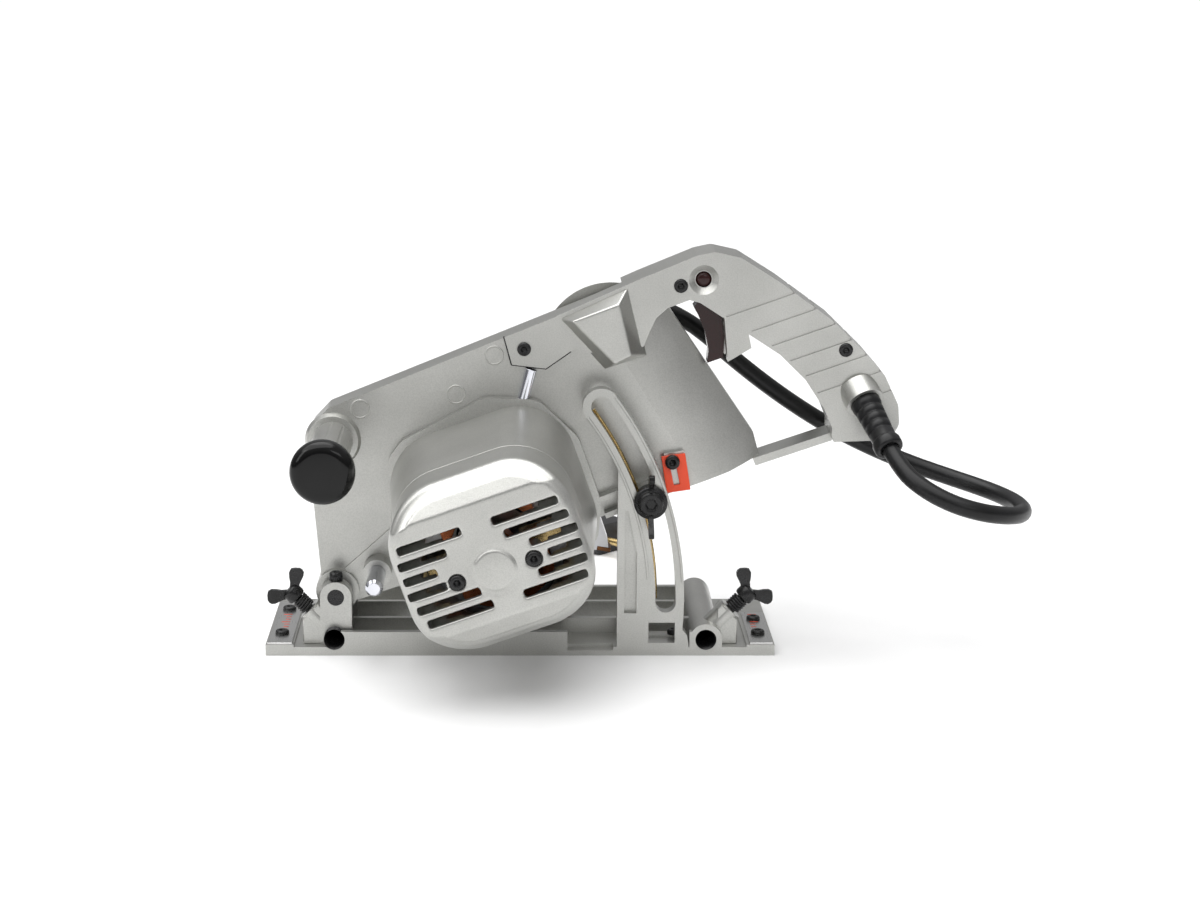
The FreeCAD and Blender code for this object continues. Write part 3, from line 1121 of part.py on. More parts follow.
def plug_body():
    """A flat two-pin plug with a tapered sleeve where the cord enters."""
    start = tail_from + tail_along * TAIL_LENGTH
    sleeve = Part.makeCone(6, 8, 16, start - tail_along * 2, tail_along)
    block = Part.makeBox(36, 34, 20, Vector(12, -17, -10))
    rounded = block.makeFillet(6, [edge for edge in block.Edges if edge.BoundBox.XLength > 30])
    rounded = Part.makeBox(36, 34, 20, Vector(12, -17, -10)).common(rounded)
    turn = Rotation(Vector(1, 0, 0), tail_along)
    rounded.Placement = Placement(start, turn)
    entry = Part.makeCylinder(number("cord_diameter / 2"), 2, start - tail_along * 2, tail_along)
    return sleeve.fuse(rounded).cut([entry] + plug_pin_shapes()).removeSplitter()


def plug_pin_shapes():
    start = tail_from + tail_along * (TAIL_LENGTH + 40)
    across = tail_along.cross(UP)
    return [Part.makeCylinder(2.4, 27, start + across * side, tail_along) for side in (-9.5, 9.5)]


pins = plug_pin_shapes()
node("cord_coil", solid("coil", cord_coil()), BASE)
node("cord_tie", solid("tie", cord_tie()), BASE)
node("plug_body", solid("plug", plug_body()), BASE)
node("plug_pins", solid("pins", pins[0].fuse(pins[1])), BASE)


# ---------------------------------------------------------------- checks and files
doc.recompute()
for item in doc.Objects:
    if "Invalid" in item.State or "Error" in item.State:
        raise RuntimeError(f"{item.Name} did not rebuild: {item.State}")
for piece in nodes:
    if piece.Shape.isNull() or not piece.Shape.isValid() or not piece.Shape.Solids:
        raise RuntimeError(f"{piece.Label} has no valid solid")

os.makedirs("parts", exist_ok=True)
for piece in nodes:
    piece.Shape.exportStep(f"parts/{piece.Label}.step")
print(f"{len(nodes)} sub-parts written")
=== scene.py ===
# Looks of the portable groove cutter: silver cast housings, black fittings and a black cord.
# Pieces of the cutting unit are drawn level from the pin's axis (along it, across, above it),
# and tilted by UNIT. Lengths are in millimetres until MM turns them into metres.

import json
import math

import bmesh
import bpy
from mathutils import Matrix, Vector


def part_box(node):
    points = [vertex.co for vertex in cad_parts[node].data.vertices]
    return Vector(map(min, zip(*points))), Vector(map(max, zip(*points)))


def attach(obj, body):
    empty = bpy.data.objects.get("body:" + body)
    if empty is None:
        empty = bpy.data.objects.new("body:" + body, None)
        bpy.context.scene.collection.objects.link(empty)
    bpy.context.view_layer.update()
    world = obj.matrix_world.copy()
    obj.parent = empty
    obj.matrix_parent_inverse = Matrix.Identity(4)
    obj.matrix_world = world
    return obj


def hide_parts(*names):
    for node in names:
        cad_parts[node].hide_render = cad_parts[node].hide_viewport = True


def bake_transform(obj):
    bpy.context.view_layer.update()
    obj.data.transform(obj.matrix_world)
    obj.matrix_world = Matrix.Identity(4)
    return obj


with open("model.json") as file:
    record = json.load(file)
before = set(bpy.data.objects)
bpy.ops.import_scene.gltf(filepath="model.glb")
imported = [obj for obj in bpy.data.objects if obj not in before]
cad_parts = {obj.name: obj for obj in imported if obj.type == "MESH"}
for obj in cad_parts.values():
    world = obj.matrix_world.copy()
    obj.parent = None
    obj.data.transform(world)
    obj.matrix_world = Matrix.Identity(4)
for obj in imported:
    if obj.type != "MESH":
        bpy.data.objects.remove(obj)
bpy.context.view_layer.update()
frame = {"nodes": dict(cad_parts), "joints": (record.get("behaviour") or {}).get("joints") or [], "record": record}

MM = 0.001
UNIT_TILT = math.radians(-19.5)


def node_joint(name):
    return next(joint for joint in frame["joints"] if joint["name"] == name)


PIN = Vector(node_joint("depth_tilt")["pos_m"])
BASE_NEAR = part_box("base_casting")[0].y
UNIT = Matrix.Translation((PIN.x, BASE_NEAR, PIN.z)) @ Matrix.Rotation(UNIT_TILT, 4, "Y")


def in_unit(along, across, above):
    """A point of the tilted cutting unit, from level millimetres."""
    return UNIT @ (Vector((along, across, above)) * MM)


# ---------------------------------------------------------------- camera
def camera():
    """The main view: square to the near side and a little above it."""
    made = bpy.data.objects.new("camera", bpy.data.cameras.new("camera"))
    bpy.context.scene.collection.objects.link(made)
    made.location = (-0.00285, -1.34984, 0.42362)
    made.rotation_euler = (math.radians(77.2), 0, 0)
    made.data.lens = 73.5
    made.data.sensor_width = 36
    made.data.shift_x = 0.0708
    made.data.clip_start = 0.05
    bpy.context.scene.camera = made


camera()


# ---------------------------------------------------------------- power cord
CORD_DIAMETER = 10
CORD_LEVEL = 6
GLAND_TIP = Vector((205.3, -10, 122.4))
GLAND_ALONG = Vector((0.298, -0.754, -0.586)).normalized()
# The route, from the base's near face: out of the gland, a loop to the rear and back along the
# far side, over the neck of the dust spout, and down to the ground. Its middle stays a little
# lower than the CAD tube, behind the gear case.
CORD_ROUTE = [
    tuple(GLAND_TIP - GLAND_ALONG * 12), tuple(GLAND_TIP + GLAND_ALONG * 14), (220.9, -33, 105.6),
    (235.5, -40.6, 99), (251.5, -42, 94.5), (266, -35, 91), (276.5, -21.5, 88), (282.5, -4.5, 86),
    (282.8, 14, 85.5), (276.5, 31, 86.5), (265, 45, 88.5), (249, 55.5, 92), (229.5, 63, 97.5),
    (206, 67.5, 106.5), (179, 69.5, 120), (152, 70.5, 137.5), (126, 71, 157.5), (103, 71.5, 178),
    (82, 73, 189), (61, 75.5, 193.5), (38, 79, 186.5), (18.5, 85, 173),
    (4, 92.6, 155), (-7, 100.3, 136), (-15.5, 107.6, 117), (-23, 114.5, 97),
    (-28.5, 122.5, 74.5), (-35.5, 129.5, 50), (-41.5, 137, 29), (-50.6, 147.9, 14.2),
    (-63.1, 162.8, CORD_LEVEL), (-76.6, 178.9, CORD_LEVEL),
]
COIL_POINTS = 20
COIL_OUTSIDE, COIL_INSIDE = 64.4, 53.6
# The coil's turns: radius, height of the centre line, and share of a turn.
COIL_TURNS = [(COIL_OUTSIDE, 6, 0.9), (COIL_INSIDE, 6, 0.9), (COIL_INSIDE, 16, 0.9),
              (COIL_OUTSIDE, 16, 0.9), (COIL_OUTSIDE, 26, 0.886)]
COIL_LEAD = 41
TURN_BLEND = 0.1
TAIL_START, TAIL_LENGTH, TAIL_RADIUS = math.radians(45), 52, 64
# The tail comes down from the top turn to the plug: share of its length, and height.
TAIL_DROP = [(0.28, 23.4), (0.55, 16.6), (0.8, 11.4), (1, 10)]


def coil_places():
    """Control points of the wound turns, clockwise seen from above, and then of the tail."""
    last, before = Vector(CORD_ROUTE[-1]), Vector(CORD_ROUTE[-2])
    heading = (last - before).normalized()
    outward = Vector((-heading.y, heading.x, 0))
    centre = last + heading * COIL_LEAD - outward * COIL_OUTSIDE
    centre.z = 0
    angle = math.atan2(outward.y, outward.x)
    step = 2 * math.pi / COIL_POINTS
    swell = 1 / math.cos(step / 2)
    places, ends = [], []
    total = 0
    for _, _, share in COIL_TURNS:
        total += share
        ends.append(total)
    count = round(total * COIL_POINTS)
    for index in range(1, count):
        done = index * total / count
        stage = next(number for number, end in enumerate(ends) if done < end + 1e-9)
        share = min((done - ends[stage] + COIL_TURNS[stage][2]) / TURN_BLEND, 1)
        was, now = Vector(COIL_TURNS[max(stage - 1, 0)][:2]), Vector(COIL_TURNS[stage][:2])
        radius, height = was.lerp(now, share)
        turn = angle - done * 2 * math.pi
        places.append(centre + Vector((math.cos(turn), math.sin(turn), 0)) * radius * swell
                      + Vector((0, 0, height)))
    leaving = centre + Vector((math.cos(TAIL_START), math.sin(TAIL_START), 0)) * TAIL_RADIUS
    along = Vector((math.sin(TAIL_START), -math.cos(TAIL_START), 0))
    for share, height in TAIL_DROP:
        places.append(leaving + along * TAIL_LENGTH * share + Vector((0, 0, height)))
    return places


def nurbs(name, places, bevel):
    """A smooth open curve led by these places."""
    curve = bpy.data.curves.new(name, "CURVE")
    curve.dimensions = "3D"
    curve.resolution_u = 6
    curve.bevel_depth = bevel
    curve.bevel_resolution = 5
    curve.use_fill_caps = True
    spline = curve.splines.new("NURBS")
    spline.points.add(len(places) - 1)
    for control, place in zip(spline.points, places):
        control.co = (*place, 1)
    spline.order_u = 3
    spline.use_endpoint_u = True
    made = bpy.data.objects.new(name, curve)
    bpy.context.scene.collection.objects.link(made)
    return made


def meshed(curve_object):
    """The mesh of a curve."""
    bpy.context.view_layer.update()
    graph = bpy.context.evaluated_depsgraph_get()
    return bpy.data.meshes.new_from_object(curve_object.evaluated_get(graph))


cord_places = [(Vector(place) + Vector((0, BASE_NEAR / MM, 0))) * MM
               for place in CORD_ROUTE + coil_places()]
line = nurbs("cord_line", cord_places, 0)
cord_path = [tuple(vertex.co) for vertex in meshed(line).vertices]
tube = nurbs("cord_tube", cord_places, CORD_DIAMETER / 2 * MM)
cord = bpy.data.objects.new("cord", meshed(tube))
bpy.context.scene.collection.objects.link(cord)
for spare in (line, tube):
    bpy.data.objects.remove(spare)


# ---------------------------------------------------------------- materials
def new_material(name):
    """An empty node material and its main shader."""
    material = bpy.data.materials.new(name)
    material.use_nodes = True
    nodes = material.node_tree.nodes
    return material, nodes, material.node_tree.links, nodes["Principled BSDF"]


def noise(nodes, links, size, detail=4, stretch=None):
    """Noise whose features are about this many millimetres across, fixed to the piece."""
    place = nodes.new("ShaderNodeTexCoord")
    texture = nodes.new("ShaderNodeTexNoise")
    texture.inputs["Scale"].default_value = 1 / (size * MM)
    texture.inputs["Detail"].default_value = detail
    if stretch:
        mapping = nodes.new("ShaderNodeMapping")
        mapping.inputs["Scale"].default_value = stretch
        links.new(place.outputs["Object"], mapping.inputs["Vector"])
        links.new(mapping.outputs["Vector"], texture.inputs["Vector"])
    else:
        links.new(place.outputs["Object"], texture.inputs["Vector"])
    return texture.outputs["Fac"]


def ramp(nodes, links, value, low, high, start=0.3, end=0.7):
    """A colour ramp between two colours."""
    made = nodes.new("ShaderNodeValToRGB")
    made.color_ramp.elements[0].position = start
    made.color_ramp.elements[1].position = end
    made.color_ramp.elements[0].color = (*low, 1)
    made.color_ramp.elements[1].color = (*high, 1)
    links.new(value, made.inputs["Fac"])
    return made.outputs["Color"]


def spread(nodes, links, value, low, high):
    """A value carried from 0..1 into low..high."""
    made = nodes.new("ShaderNodeMapRange")
    made.inputs["To Min"].default_value = low
    made.inputs["To Max"].default_value = high
    links.new(value, made.inputs["Value"])
    return made.outputs["Result"]


def bump(nodes, links, value, shader, depth, below=None):
    """Relief of this depth in millimetres, on top of any relief given."""
    made = nodes.new("ShaderNodeBump")
    made.inputs["Strength"].default_value = 1
    made.inputs["Distance"].default_value = depth * MM
    links.new(value, made.inputs["Height"])
    if below:
        links.new(below, made.inputs["Normal"])
    links.new(made.outputs["Normal"], shader.inputs["Normal"])
    return made.outputs["Normal"]


def finish_of(name, low, high, rough, metallic, grain, depth, coat=0.0, stretch=None, shine=0.5):
    """A finish with patchy colour and roughness at one scale and fine relief at another."""
    material, nodes, links, shader = new_material(name)
    broad = noise(nodes, links, 18, 3, stretch)
    fine = noise(nodes, links, grain, 3, stretch)
    links.new(ramp(nodes, links, broad, low, high), shader.inputs["Base Color"])
    links.new(spread(nodes, links, fine, rough[0], rough[1]), shader.inputs["Roughness"])
    shader.inputs["Metallic"].default_value = metallic
    shader.inputs["Specular IOR Level"].default_value = shine
    shader.inputs["Coat Weight"].default_value = coat
    shader.inputs["Coat Roughness"].default_value = 0.12
    bump(nodes, links, fine, shader, depth)
    return material


def cast_silver():
    """Silver paint on cast metal: fine sparkle, faint cloudiness and a slight orange peel."""
    material, nodes, links, shader = new_material("cast_silver")
    cloud = noise(nodes, links, 35, 4)
    grain = noise(nodes, links, 0.7, 3)
    peel = noise(nodes, links, 2.6, 2)
    base = ramp(nodes, links, cloud, (0.475, 0.475, 0.452), (0.545, 0.545, 0.52))
    flakes = ramp(nodes, links, grain, (0.84, 0.84, 0.84), (1, 1, 1), 0.35, 0.62)
    mixed = nodes.new("ShaderNodeMix")
    mixed.data_type = "RGBA"
    mixed.blend_type = "MULTIPLY"
    mixed.inputs["Factor"].default_value = 0.8
    links.new(base, mixed.inputs["A"])
    links.new(flakes, mixed.inputs["B"])
    links.new(mixed.outputs["Result"], shader.inputs["Base Color"])
    links.new(spread(nodes, links, grain, 0.28, 0.42), shader.inputs["Roughness"])
    shader.inputs["Metallic"].default_value = 0.85
    shader.inputs["Coat Weight"].default_value = 0.12
    shader.inputs["Coat Roughness"].default_value = 0.22
    under = bump(nodes, links, peel, shader, 0.05)
    bump(nodes, links, grain, shader, 0.035, under)
    return material


SLOTS = {
    "cast_silver": cast_silver(),
    "machined_aluminium": finish_of("machined_aluminium", (0.60, 0.60, 0.59), (0.72, 0.72, 0.71),
                                    (0.22, 0.38), 1, 0.5, 0.02, stretch=(1, 0.05, 1)),
    "black_steel": finish_of("black_steel", (0.006, 0.006, 0.006), (0.016, 0.016, 0.017),
                             (0.2, 0.36), 0.2, 0.6, 0.015, shine=0.45),
    "steel": finish_of("steel", (0.42, 0.42, 0.43), (0.58, 0.58, 0.59), (0.22, 0.4), 1, 0.6, 0.015),
    "bronze": finish_of("bronze", (0.10, 0.045, 0.022), (0.26, 0.12, 0.055), (0.3, 0.5), 0.9, 0.8, 0.03),
    "copper": finish_of("copper", (0.50, 0.14, 0.05), (0.78, 0.27, 0.12), (0.2, 0.4), 0.9, 0.5, 0.04),
    "brass": finish_of("brass", (0.58, 0.42, 0.18), (0.74, 0.56, 0.27), (0.2, 0.36), 1, 0.7, 0.015),
    "carbon": finish_of("carbon", (0.018, 0.018, 0.018), (0.05, 0.05, 0.05), (0.6, 0.85), 0, 0.6, 0.05),
    "black_plastic": finish_of("black_plastic", (0.012, 0.012, 0.013), (0.024, 0.024, 0.026),
                               (0.38, 0.56), 0, 0.8, 0.03),
    "gloss_black": finish_of("gloss_black", (0.002, 0.002, 0.002), (0.005, 0.005, 0.005),
                             (0.08, 0.16), 0, 3, 0.01, coat=0.12, shine=0.22),
    "dark_red": finish_of("dark_red", (0.014, 0.002, 0.002), (0.026, 0.004, 0.003),
                          (0.16, 0.28), 0, 1.2, 0.02, coat=0.1, shine=0.35),
    "orange_paint": finish_of("orange_paint", (0.80, 0.055, 0.010), (0.90, 0.075, 0.016),
                              (0.34, 0.5), 0, 0.9, 0.02, coat=0.1),
    "chrome": finish_of("chrome", (0.60, 0.61, 0.66), (0.72, 0.73, 0.78), (0.05, 0.14), 1, 2.5, 0.002),
    "rubber": finish_of("rubber", (0.004, 0.004, 0.004), (0.009, 0.009, 0.010), (0.26, 0.42), 0, 1.1, 0.03,
                        shine=0.3),
}


# ---------------------------------------------------------------- CAD nodes
NODE_SLOTS = {part["node"]: part["material_slot"] for part in frame["record"]["subparts"]}


def round_off(thing, width):
    """Rounded edges of this width in millimetres."""
    bevel = thing.modifiers.new("bevel", "BEVEL")
    bevel.width = width * MM
    bevel.segments = 3
    bevel.limit_method = "ANGLE"
    bevel.angle_limit = math.radians(30)
    bevel.harden_normals = True
    bevel.use_clamp_overlap = True


def soften(thing, width):
    """Rounded edges on a CAD piece, by modifiers that leave its mesh as it is."""
    weld = thing.modifiers.new("weld", "WELD")
    weld.merge_threshold = 0.01 * MM
    merge = thing.modifiers.new("flat_faces", "DECIMATE")
    merge.decimate_type = "DISSOLVE"
    merge.angle_limit = math.radians(0.5)
    round_off(thing, width)
    thing.modifiers.new("normals", "WEIGHTED_NORMAL")
    thing.data.shade_smooth()


# Edge widths of the castings, and of every other node, in millimetres
EDGES = {"base_casting": 1.0, "depth_quadrant": 0.8, "gear_case": 1.2, "cutter_cover": 1.0,
         "motor_housing": 1.2, "handle_near_shell": 1.2, "handle_far_shell": 1.2}
SMALL_EDGE = 0.3
for name, thing in frame["nodes"].items():
    thing.data.materials.clear()
    thing.data.materials.append(SLOTS[NODE_SLOTS[name]])
    soften(thing, EDGES.get(name, SMALL_EDGE))


def finished(thing, body, slot, *stands_for):
    """A new piece: its body, finish and the CAD nodes it stands for."""
    thing.data.materials.clear()
    thing.data.materials.append(SLOTS[slot])
    if body:
        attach(thing, body)
    if stands_for:
        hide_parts(*stands_for)
    return thing


def new_piece(name, work, slot, body, *stands_for):
    """A smooth-shaded piece made of a finished bmesh."""
    mesh = bpy.data.meshes.new(name)
    bmesh.ops.recalc_face_normals(work, faces=work.faces)
    work.to_mesh(mesh)
    work.free()
    mesh.shade_smooth()
    thing = bpy.data.objects.new(name, mesh)
    bpy.context.scene.collection.objects.link(thing)
    return finished(thing, body, slot, *stands_for)


# The cord itself
cord.data.shade_smooth()
finished(cord, None, "rubber", "power_cord", "cord_coil")
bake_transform(cord)


# ---------------------------------------------------------------- shapes of the fittings
def spun(rings, segments=48, hollow=False):
    """A turned form along +Z in millimetres. A ring is (radius, height) or (radius, height, sides)."""
    work = bmesh.new()
    loops = []
    for radius, height, *sides in rings:
        loop = []
        for index in range(segments):
            turn = 2 * math.pi * index / segments
            reach = radius
            if sides:
                half = math.pi / sides[0]
                reach = radius * math.cos(half) / math.cos(turn % (2 * half) - half)
            loop.append(work.verts.new((reach * math.cos(turn), reach * math.sin(turn), height)))
        loops.append(loop)
    if hollow:
        # The wall closes on itself, so it needs no end faces.
        loops.append(loops[0])
    for low, high in zip(loops, loops[1:]):
        for index in range(segments):
            after = (index + 1) % segments
            work.faces.new((low[index], low[after], high[after], high[index]))
    if not hollow:
        work.faces.new(loops[0][::-1])
        work.faces.new(loops[-1])
    return work


def placed(work, origin, along):
    """Carries a form drawn along +Z in millimetres to a place in metres."""
    turn = Vector((0, 0, 1)).rotation_difference(Vector(along)).to_matrix().to_4x4()
    matrix = Matrix.Translation(origin) @ turn @ Matrix.Scale(MM, 4)
    bmesh.ops.transform(work, matrix=matrix, verts=work.verts)
    return work


def plate(outline, low, high, place):
    """A slab between two levels: place(a, b, level) gives a corner in metres."""
    work = bmesh.new()
    bottom = [work.verts.new(place(a, b, low)) for a, b in outline]
    top = [work.verts.new(place(a, b, high)) for a, b in outline]
    work.faces.new(bottom)
    work.faces.new(top[::-1])
    for index, corner in enumerate(bottom):
        after = (index + 1) % len(bottom)
        work.faces.new((corner, bottom[after], top[after], top[index]))
    return work


def tube(points, radius, sides=8):
    """A wire along close points, in metres."""
    work = bmesh.new()
    rings, normal = [], None
    for index, point in enumerate(points):
        ahead = points[min(index + 1, len(points) - 1)] - points[max(index - 1, 0)]
        ahead.normalize()
        if normal is None:
            normal = ahead.orthogonal()
        normal = (normal - ahead * normal.dot(ahead)).normalized()
        other = ahead.cross(normal)
        rings.append([work.verts.new(point + (normal * math.cos(turn) + other * math.sin(turn)) * radius)
                      for turn in (2 * math.pi * step / sides for step in range(sides))])
    for low, high in zip(rings, rings[1:]):
        for index in range(sides):
            after = (index + 1) % sides
            work.faces.new((low[index], low[after], high[after], high[index]))
    work.faces.new(rings[0][::-1])
    work.faces.new(rings[-1])
    return work


CLOSED_TURNS, CLOSED_RISE = 0.12, 0.08


def spring(origin, along, radius, wire, length, turns):
    """A wound wire spring, its end turns closed up; sizes in millimetres."""
    side = Vector(along).orthogonal().normalized()
    other = Vector(along).cross(side)
    count = turns * 20
    points = []
    for index in range(count + 1):
        share = index / count
        first = min(share / CLOSED_TURNS, 1)
        middle = min(max((share - CLOSED_TURNS) / (1 - 2 * CLOSED_TURNS), 0), 1)
        last = max((share - 1 + CLOSED_TURNS) / CLOSED_TURNS, 0)
        risen = CLOSED_RISE * (first + last) + (1 - 2 * CLOSED_RISE) * middle
        rise = wire + (length - 2 * wire) * risen
        turn = 2 * math.pi * turns * share
        points.append(origin + (Vector(along) * rise + side * radius * math.cos(turn)
                                + other * radius * math.sin(turn)) * MM)
    return tube(points, wire * MM)


def gathered(works):
    """One mesh from several forms."""
    whole = bmesh.new()
    for work in works:
        mesh = bpy.data.meshes.new("part")
        work.to_mesh(mesh)
        work.free()
        whole.from_mesh(mesh)
        bpy.data.meshes.remove(mesh)
    return whole


def islands(node):
    """The places of the separate solids of a node, as lists of points."""
    work = bmesh.new()
    work.from_mesh(frame["nodes"][node].data)
    bmesh.ops.remove_doubles(work, verts=work.verts, dist=0.002 * MM)
    left = set(work.verts)
    found = []
    for first in list(work.verts):
        if first not in left:
            continue
        left.discard(first)
        todo, group = [first], []
        while todo:
            vert = todo.pop()
            group.append(vert.co.copy())
            for edge in vert.link_edges:
                other = edge.other_vert(vert)
                if other in left:
                    left.discard(other)
                    todo.append(other)
        found.append(group)
    work.free()
    return found


def ends_of(points):
    """The low and high corners of the box around some points."""
    return [Vector([pick(point[number] for point in points) for number in range(3)])
            for pick in (min, max)]


def screw_form(points, along):
    """A socket-head screw where a plain CAD screw lies; along points from its head to its tip."""
    along = Vector(along)
    axis = max(range(3), key=lambda number: abs(along[number]))
    sides = [number for number in range(3) if number != axis]
    low, high = ends_of(points)
    centre = (low + high) / 2
    radius = (high[sides[0]] - low[sides[0]]) / 2

    def off_axis(point):
        return math.dist([point[number] for number in sides], [centre[number] for number in sides])

    top = min(point.dot(along) for point in points)
    rim = [point.dot(along) for point in points if off_axis(point) > 0.97 * radius]
    height = (max(rim) - top) / MM
    length = (max(point.dot(along) for point in points) - top) / MM
    shank = min(off_axis(point) for point in points
                if point.dot(along) - top > (length - 0.05) * MM) / MM
    radius /= MM
    origin = centre + along * (top - centre.dot(along))
    rings = [(0.44 * radius, 0.62 * height, 6), (0.46 * radius, 0.1 * height, 6), (0.52 * radius, 0, 6),
             (0.66 * radius, 0), (0.84 * radius, 0.08 * height), (0.95 * radius, 0.24 * height),
             (radius, 0.5 * height), (radius, height), (shank, height), (shank, length)]
    return placed(spun(rings, 36), origin, along)


def new_screws(name, node, along, body):
    """The screws of one node, as one piece."""
    forms = [screw_form(points, along) for points in islands(node)]
    new_piece(name, gathered(forms), "black_steel", body, node)


def at_base(x, y, z):
    """A point drawn from the base's near face, in millimetres."""
    return Vector((x * MM, y * MM + BASE_NEAR, z * MM))


TO_UNIT = UNIT.to_3x3()
NEAR_TO_FAR = Vector((0, 1, 0))
DOWN = Vector((0, 0, -1))
new_screws("end_cover_screw_heads", "end_cover_screws", NEAR_TO_FAR, "cutting_unit")
new_screws("handle_screw_heads", "handle_screws", NEAR_TO_FAR, "cutting_unit")
new_screws("pointer_screw_head", "pointer_screw", NEAR_TO_FAR, "cutting_unit")
new_screws("cover_screw_heads", "cover_screws", -NEAR_TO_FAR, "cutting_unit")
new_screws("spindle_bolt", "cutter_bolt", -NEAR_TO_FAR, "cutter_spindle")
new_screws("quadrant_screw_heads", "quadrant_screws", DOWN, "base")
new_screws("scale_screw_heads", "scale_plate_screws", DOWN, "base")
new_screws("hinge_grub_screw", "hinge_set_screw", DOWN, "base")

# Front knob: a glossy domed cap
KNOB_CAP = [(1, 0), (11.5, 0.1), (13.6, 0.45), (15.3, 1.2), (16.6, 2.4), (17.4, 3.9), (17.78, 5.6),
            (17.78, 8.2), (17.3, 10.4), (16, 12.2), (14, 13.4), (11.6, 14)]
new_piece("front_knob", placed(spun(KNOB_CAP, 72), in_unit(28.1, -62, 83.4), NEAR_TO_FAR),
          "gloss_black", "cutting_unit", "front_knob_cap")

# Lock button: a domed plunger at the bottom of its funnel
BUTTON = [(0.6, 0), (2.2, 0.15), (3.4, 0.7), (4.2, 1.6), (4.5, 2.8), (4.5, 5.5), (6.9, 5.5), (6.9, 7)]
new_piece("lock_plunger", placed(spun(BUTTON), in_unit(256.1, 23, 100.6), NEAR_TO_FAR),
          "dark_red", "lock_button", "lock_button")

# Cord gland: a ribbed rubber sleeve with a thick collar
GLAND_FROM, GLAND_TO = in_unit(319, 21, 8.5), in_unit(322.5, -10, -18.8)
GLAND_LENGTH = (GLAND_TO - GLAND_FROM).length / MM
GLAND_TAPER = 0.045
GLAND = [(8.6, 0), (8.5, 9)]
for groove in range(4):
    level = 11 + groove * 5.5
    wide = 8.45 - GLAND_TAPER * level
    GLAND += [(wide, level), (wide - 0.55, level + 0.5), (wide - 0.55, level + 1.3), (wide, level + 1.8)]
GLAND += [(7.1, GLAND_LENGTH - 7.4), (7.7, GLAND_LENGTH - 6.6), (8.2, GLAND_LENGTH - 5.4),
          (8.2, GLAND_LENGTH - 1.6), (7.8, GLAND_LENGTH - 0.5), (7, GLAND_LENGTH), (5.1, GLAND_LENGTH),
          (5.05, GLAND_LENGTH - 3)]
new_piece("cord_sleeve", placed(spun(GLAND), GLAND_FROM, GLAND_TO - GLAND_FROM),
          "rubber", "cutting_unit", "cord_gland")

# Wing bolts and their springs
DIAGONAL = math.sqrt(0.5)
BORE_ALONG, BORE_ABOVE = 105.8, 9.3
PETAL_LIFT = math.radians(38)
PETAL = [(2, -2.6), (6, -2.7), (8.6, -3.5), (11.2, -4.4), (13.1, -4.4), (14.5, -3.4), (15.3, -1.8),
         (15.1, 1), (14.5, 3.2), (12.4, 4), (9.6, 3.6), (6.8, 2.8), (2, 2.6)]
BOLT_HUB = [(2.2, 37.6), (4.2, 37.3), (5.2, 36.4), (5.5, 35), (5.5, 31.4), (5.1, 30.4), (4, 30)]
for name, side in (("front", -1), ("rear", 1)):
    along = Vector((side * DIAGONAL, 0, DIAGONAL))
    root = at_base(side * BORE_ALONG, 13, BORE_ABOVE)
    thread = [(3, 7)] + [(radius, 20 + step * 0.5) for step, radius in enumerate([3, 2.7] * 10)] + [(3, 31)]
    forms = [placed(spun(BOLT_HUB[::-1], 32), root, along), placed(spun(thread, 24), root, along)]
    middle = root + along * 33.4 * MM
    for turn in (-1, 1):
        across = Vector((-side * DIAGONAL, 0, DIAGONAL)) * turn
        outward = across * math.cos(PETAL_LIFT) + along * math.sin(PETAL_LIFT)
        upward = along * math.cos(PETAL_LIFT) - across * math.sin(PETAL_LIFT)

        def corner(reach, width, level):
            thick = level * (1 + 0.02 * reach)
            return middle + (outward * reach + upward * width + NEAR_TO_FAR * thick) * MM

        forms.append(plate(PETAL, -1.25, 1.25, corner))
    bolt = new_piece(f"{name}_thumb_screw", gathered(forms), "black_steel", f"{name}_wing_bolt",
                     f"{name}_wing_bolt")
    round_off(bolt, 0.6)
    new_piece(f"{name}_coil_spring", spring(root + along * 21.3 * MM, along, 4.15, 0.75, 8.6, 5),
              "black_steel", "base", f"{name}_wing_spring")
new_piece("plunger_coil_spring", spring(in_unit(26.5, 18.3, 4.5), NEAR_TO_FAR, 3.1, 0.5, 9.5, 7),
          "steel", "cutting_unit", "plunger_spring")
BRUSH_SPRING_LENGTH = 10.8
for index, points in enumerate(islands("brush_springs")):
    low, high = ends_of(points)
    axis = (TO_UNIT @ Vector((1, 0, 0))).normalized()
    start = (low + high) / 2 - axis * BRUSH_SPRING_LENGTH / 2 * MM
    stands = ("brush_springs",) if index == 0 else ()
    new_piece(f"brush_spring_{index}", spring(start, axis, 2.1, 0.4, BRUSH_SPRING_LENGTH, 8),
              "steel", "cutting_unit", *stands)

# Depth clamp: a wing nut with a stepped hub and two upright wings
CLAMP_HUB = [(3, 1.6, 6), (3.1, 0.4, 6), (4, 0), (5.8, 0.1), (6.7, 0.7), (7.1, 1.8), (7.2, 3), (8.8, 3.5),
             (9.4, 4.2), (9.5, 5.2), (9.5, 6.4), (9, 7)]
CLAMP_BLADE = [(4, -1.8), (4, -6.6), (7, -7.4), (9.4, -9), (11.4, -12), (13.5, -15), (15.6, -16.3),
               (17.6, -15.8), (18.4, -13.6), (17.4, -10), (15.2, -6.2), (12.6, -3.2), (10, -1.9)]
clamp_at = in_unit(187.4, 0, -4.9)
forms = [placed(spun(CLAMP_HUB), clamp_at + Vector((0, -8.2 * MM, 0)), NEAR_TO_FAR)]
for turn in (-1, 1):
    forms.append(plate(CLAMP_BLADE, -1.5, 1.5, lambda reach, y, level: clamp_at
                       + Vector((level * MM, y * MM, turn * reach * MM))))
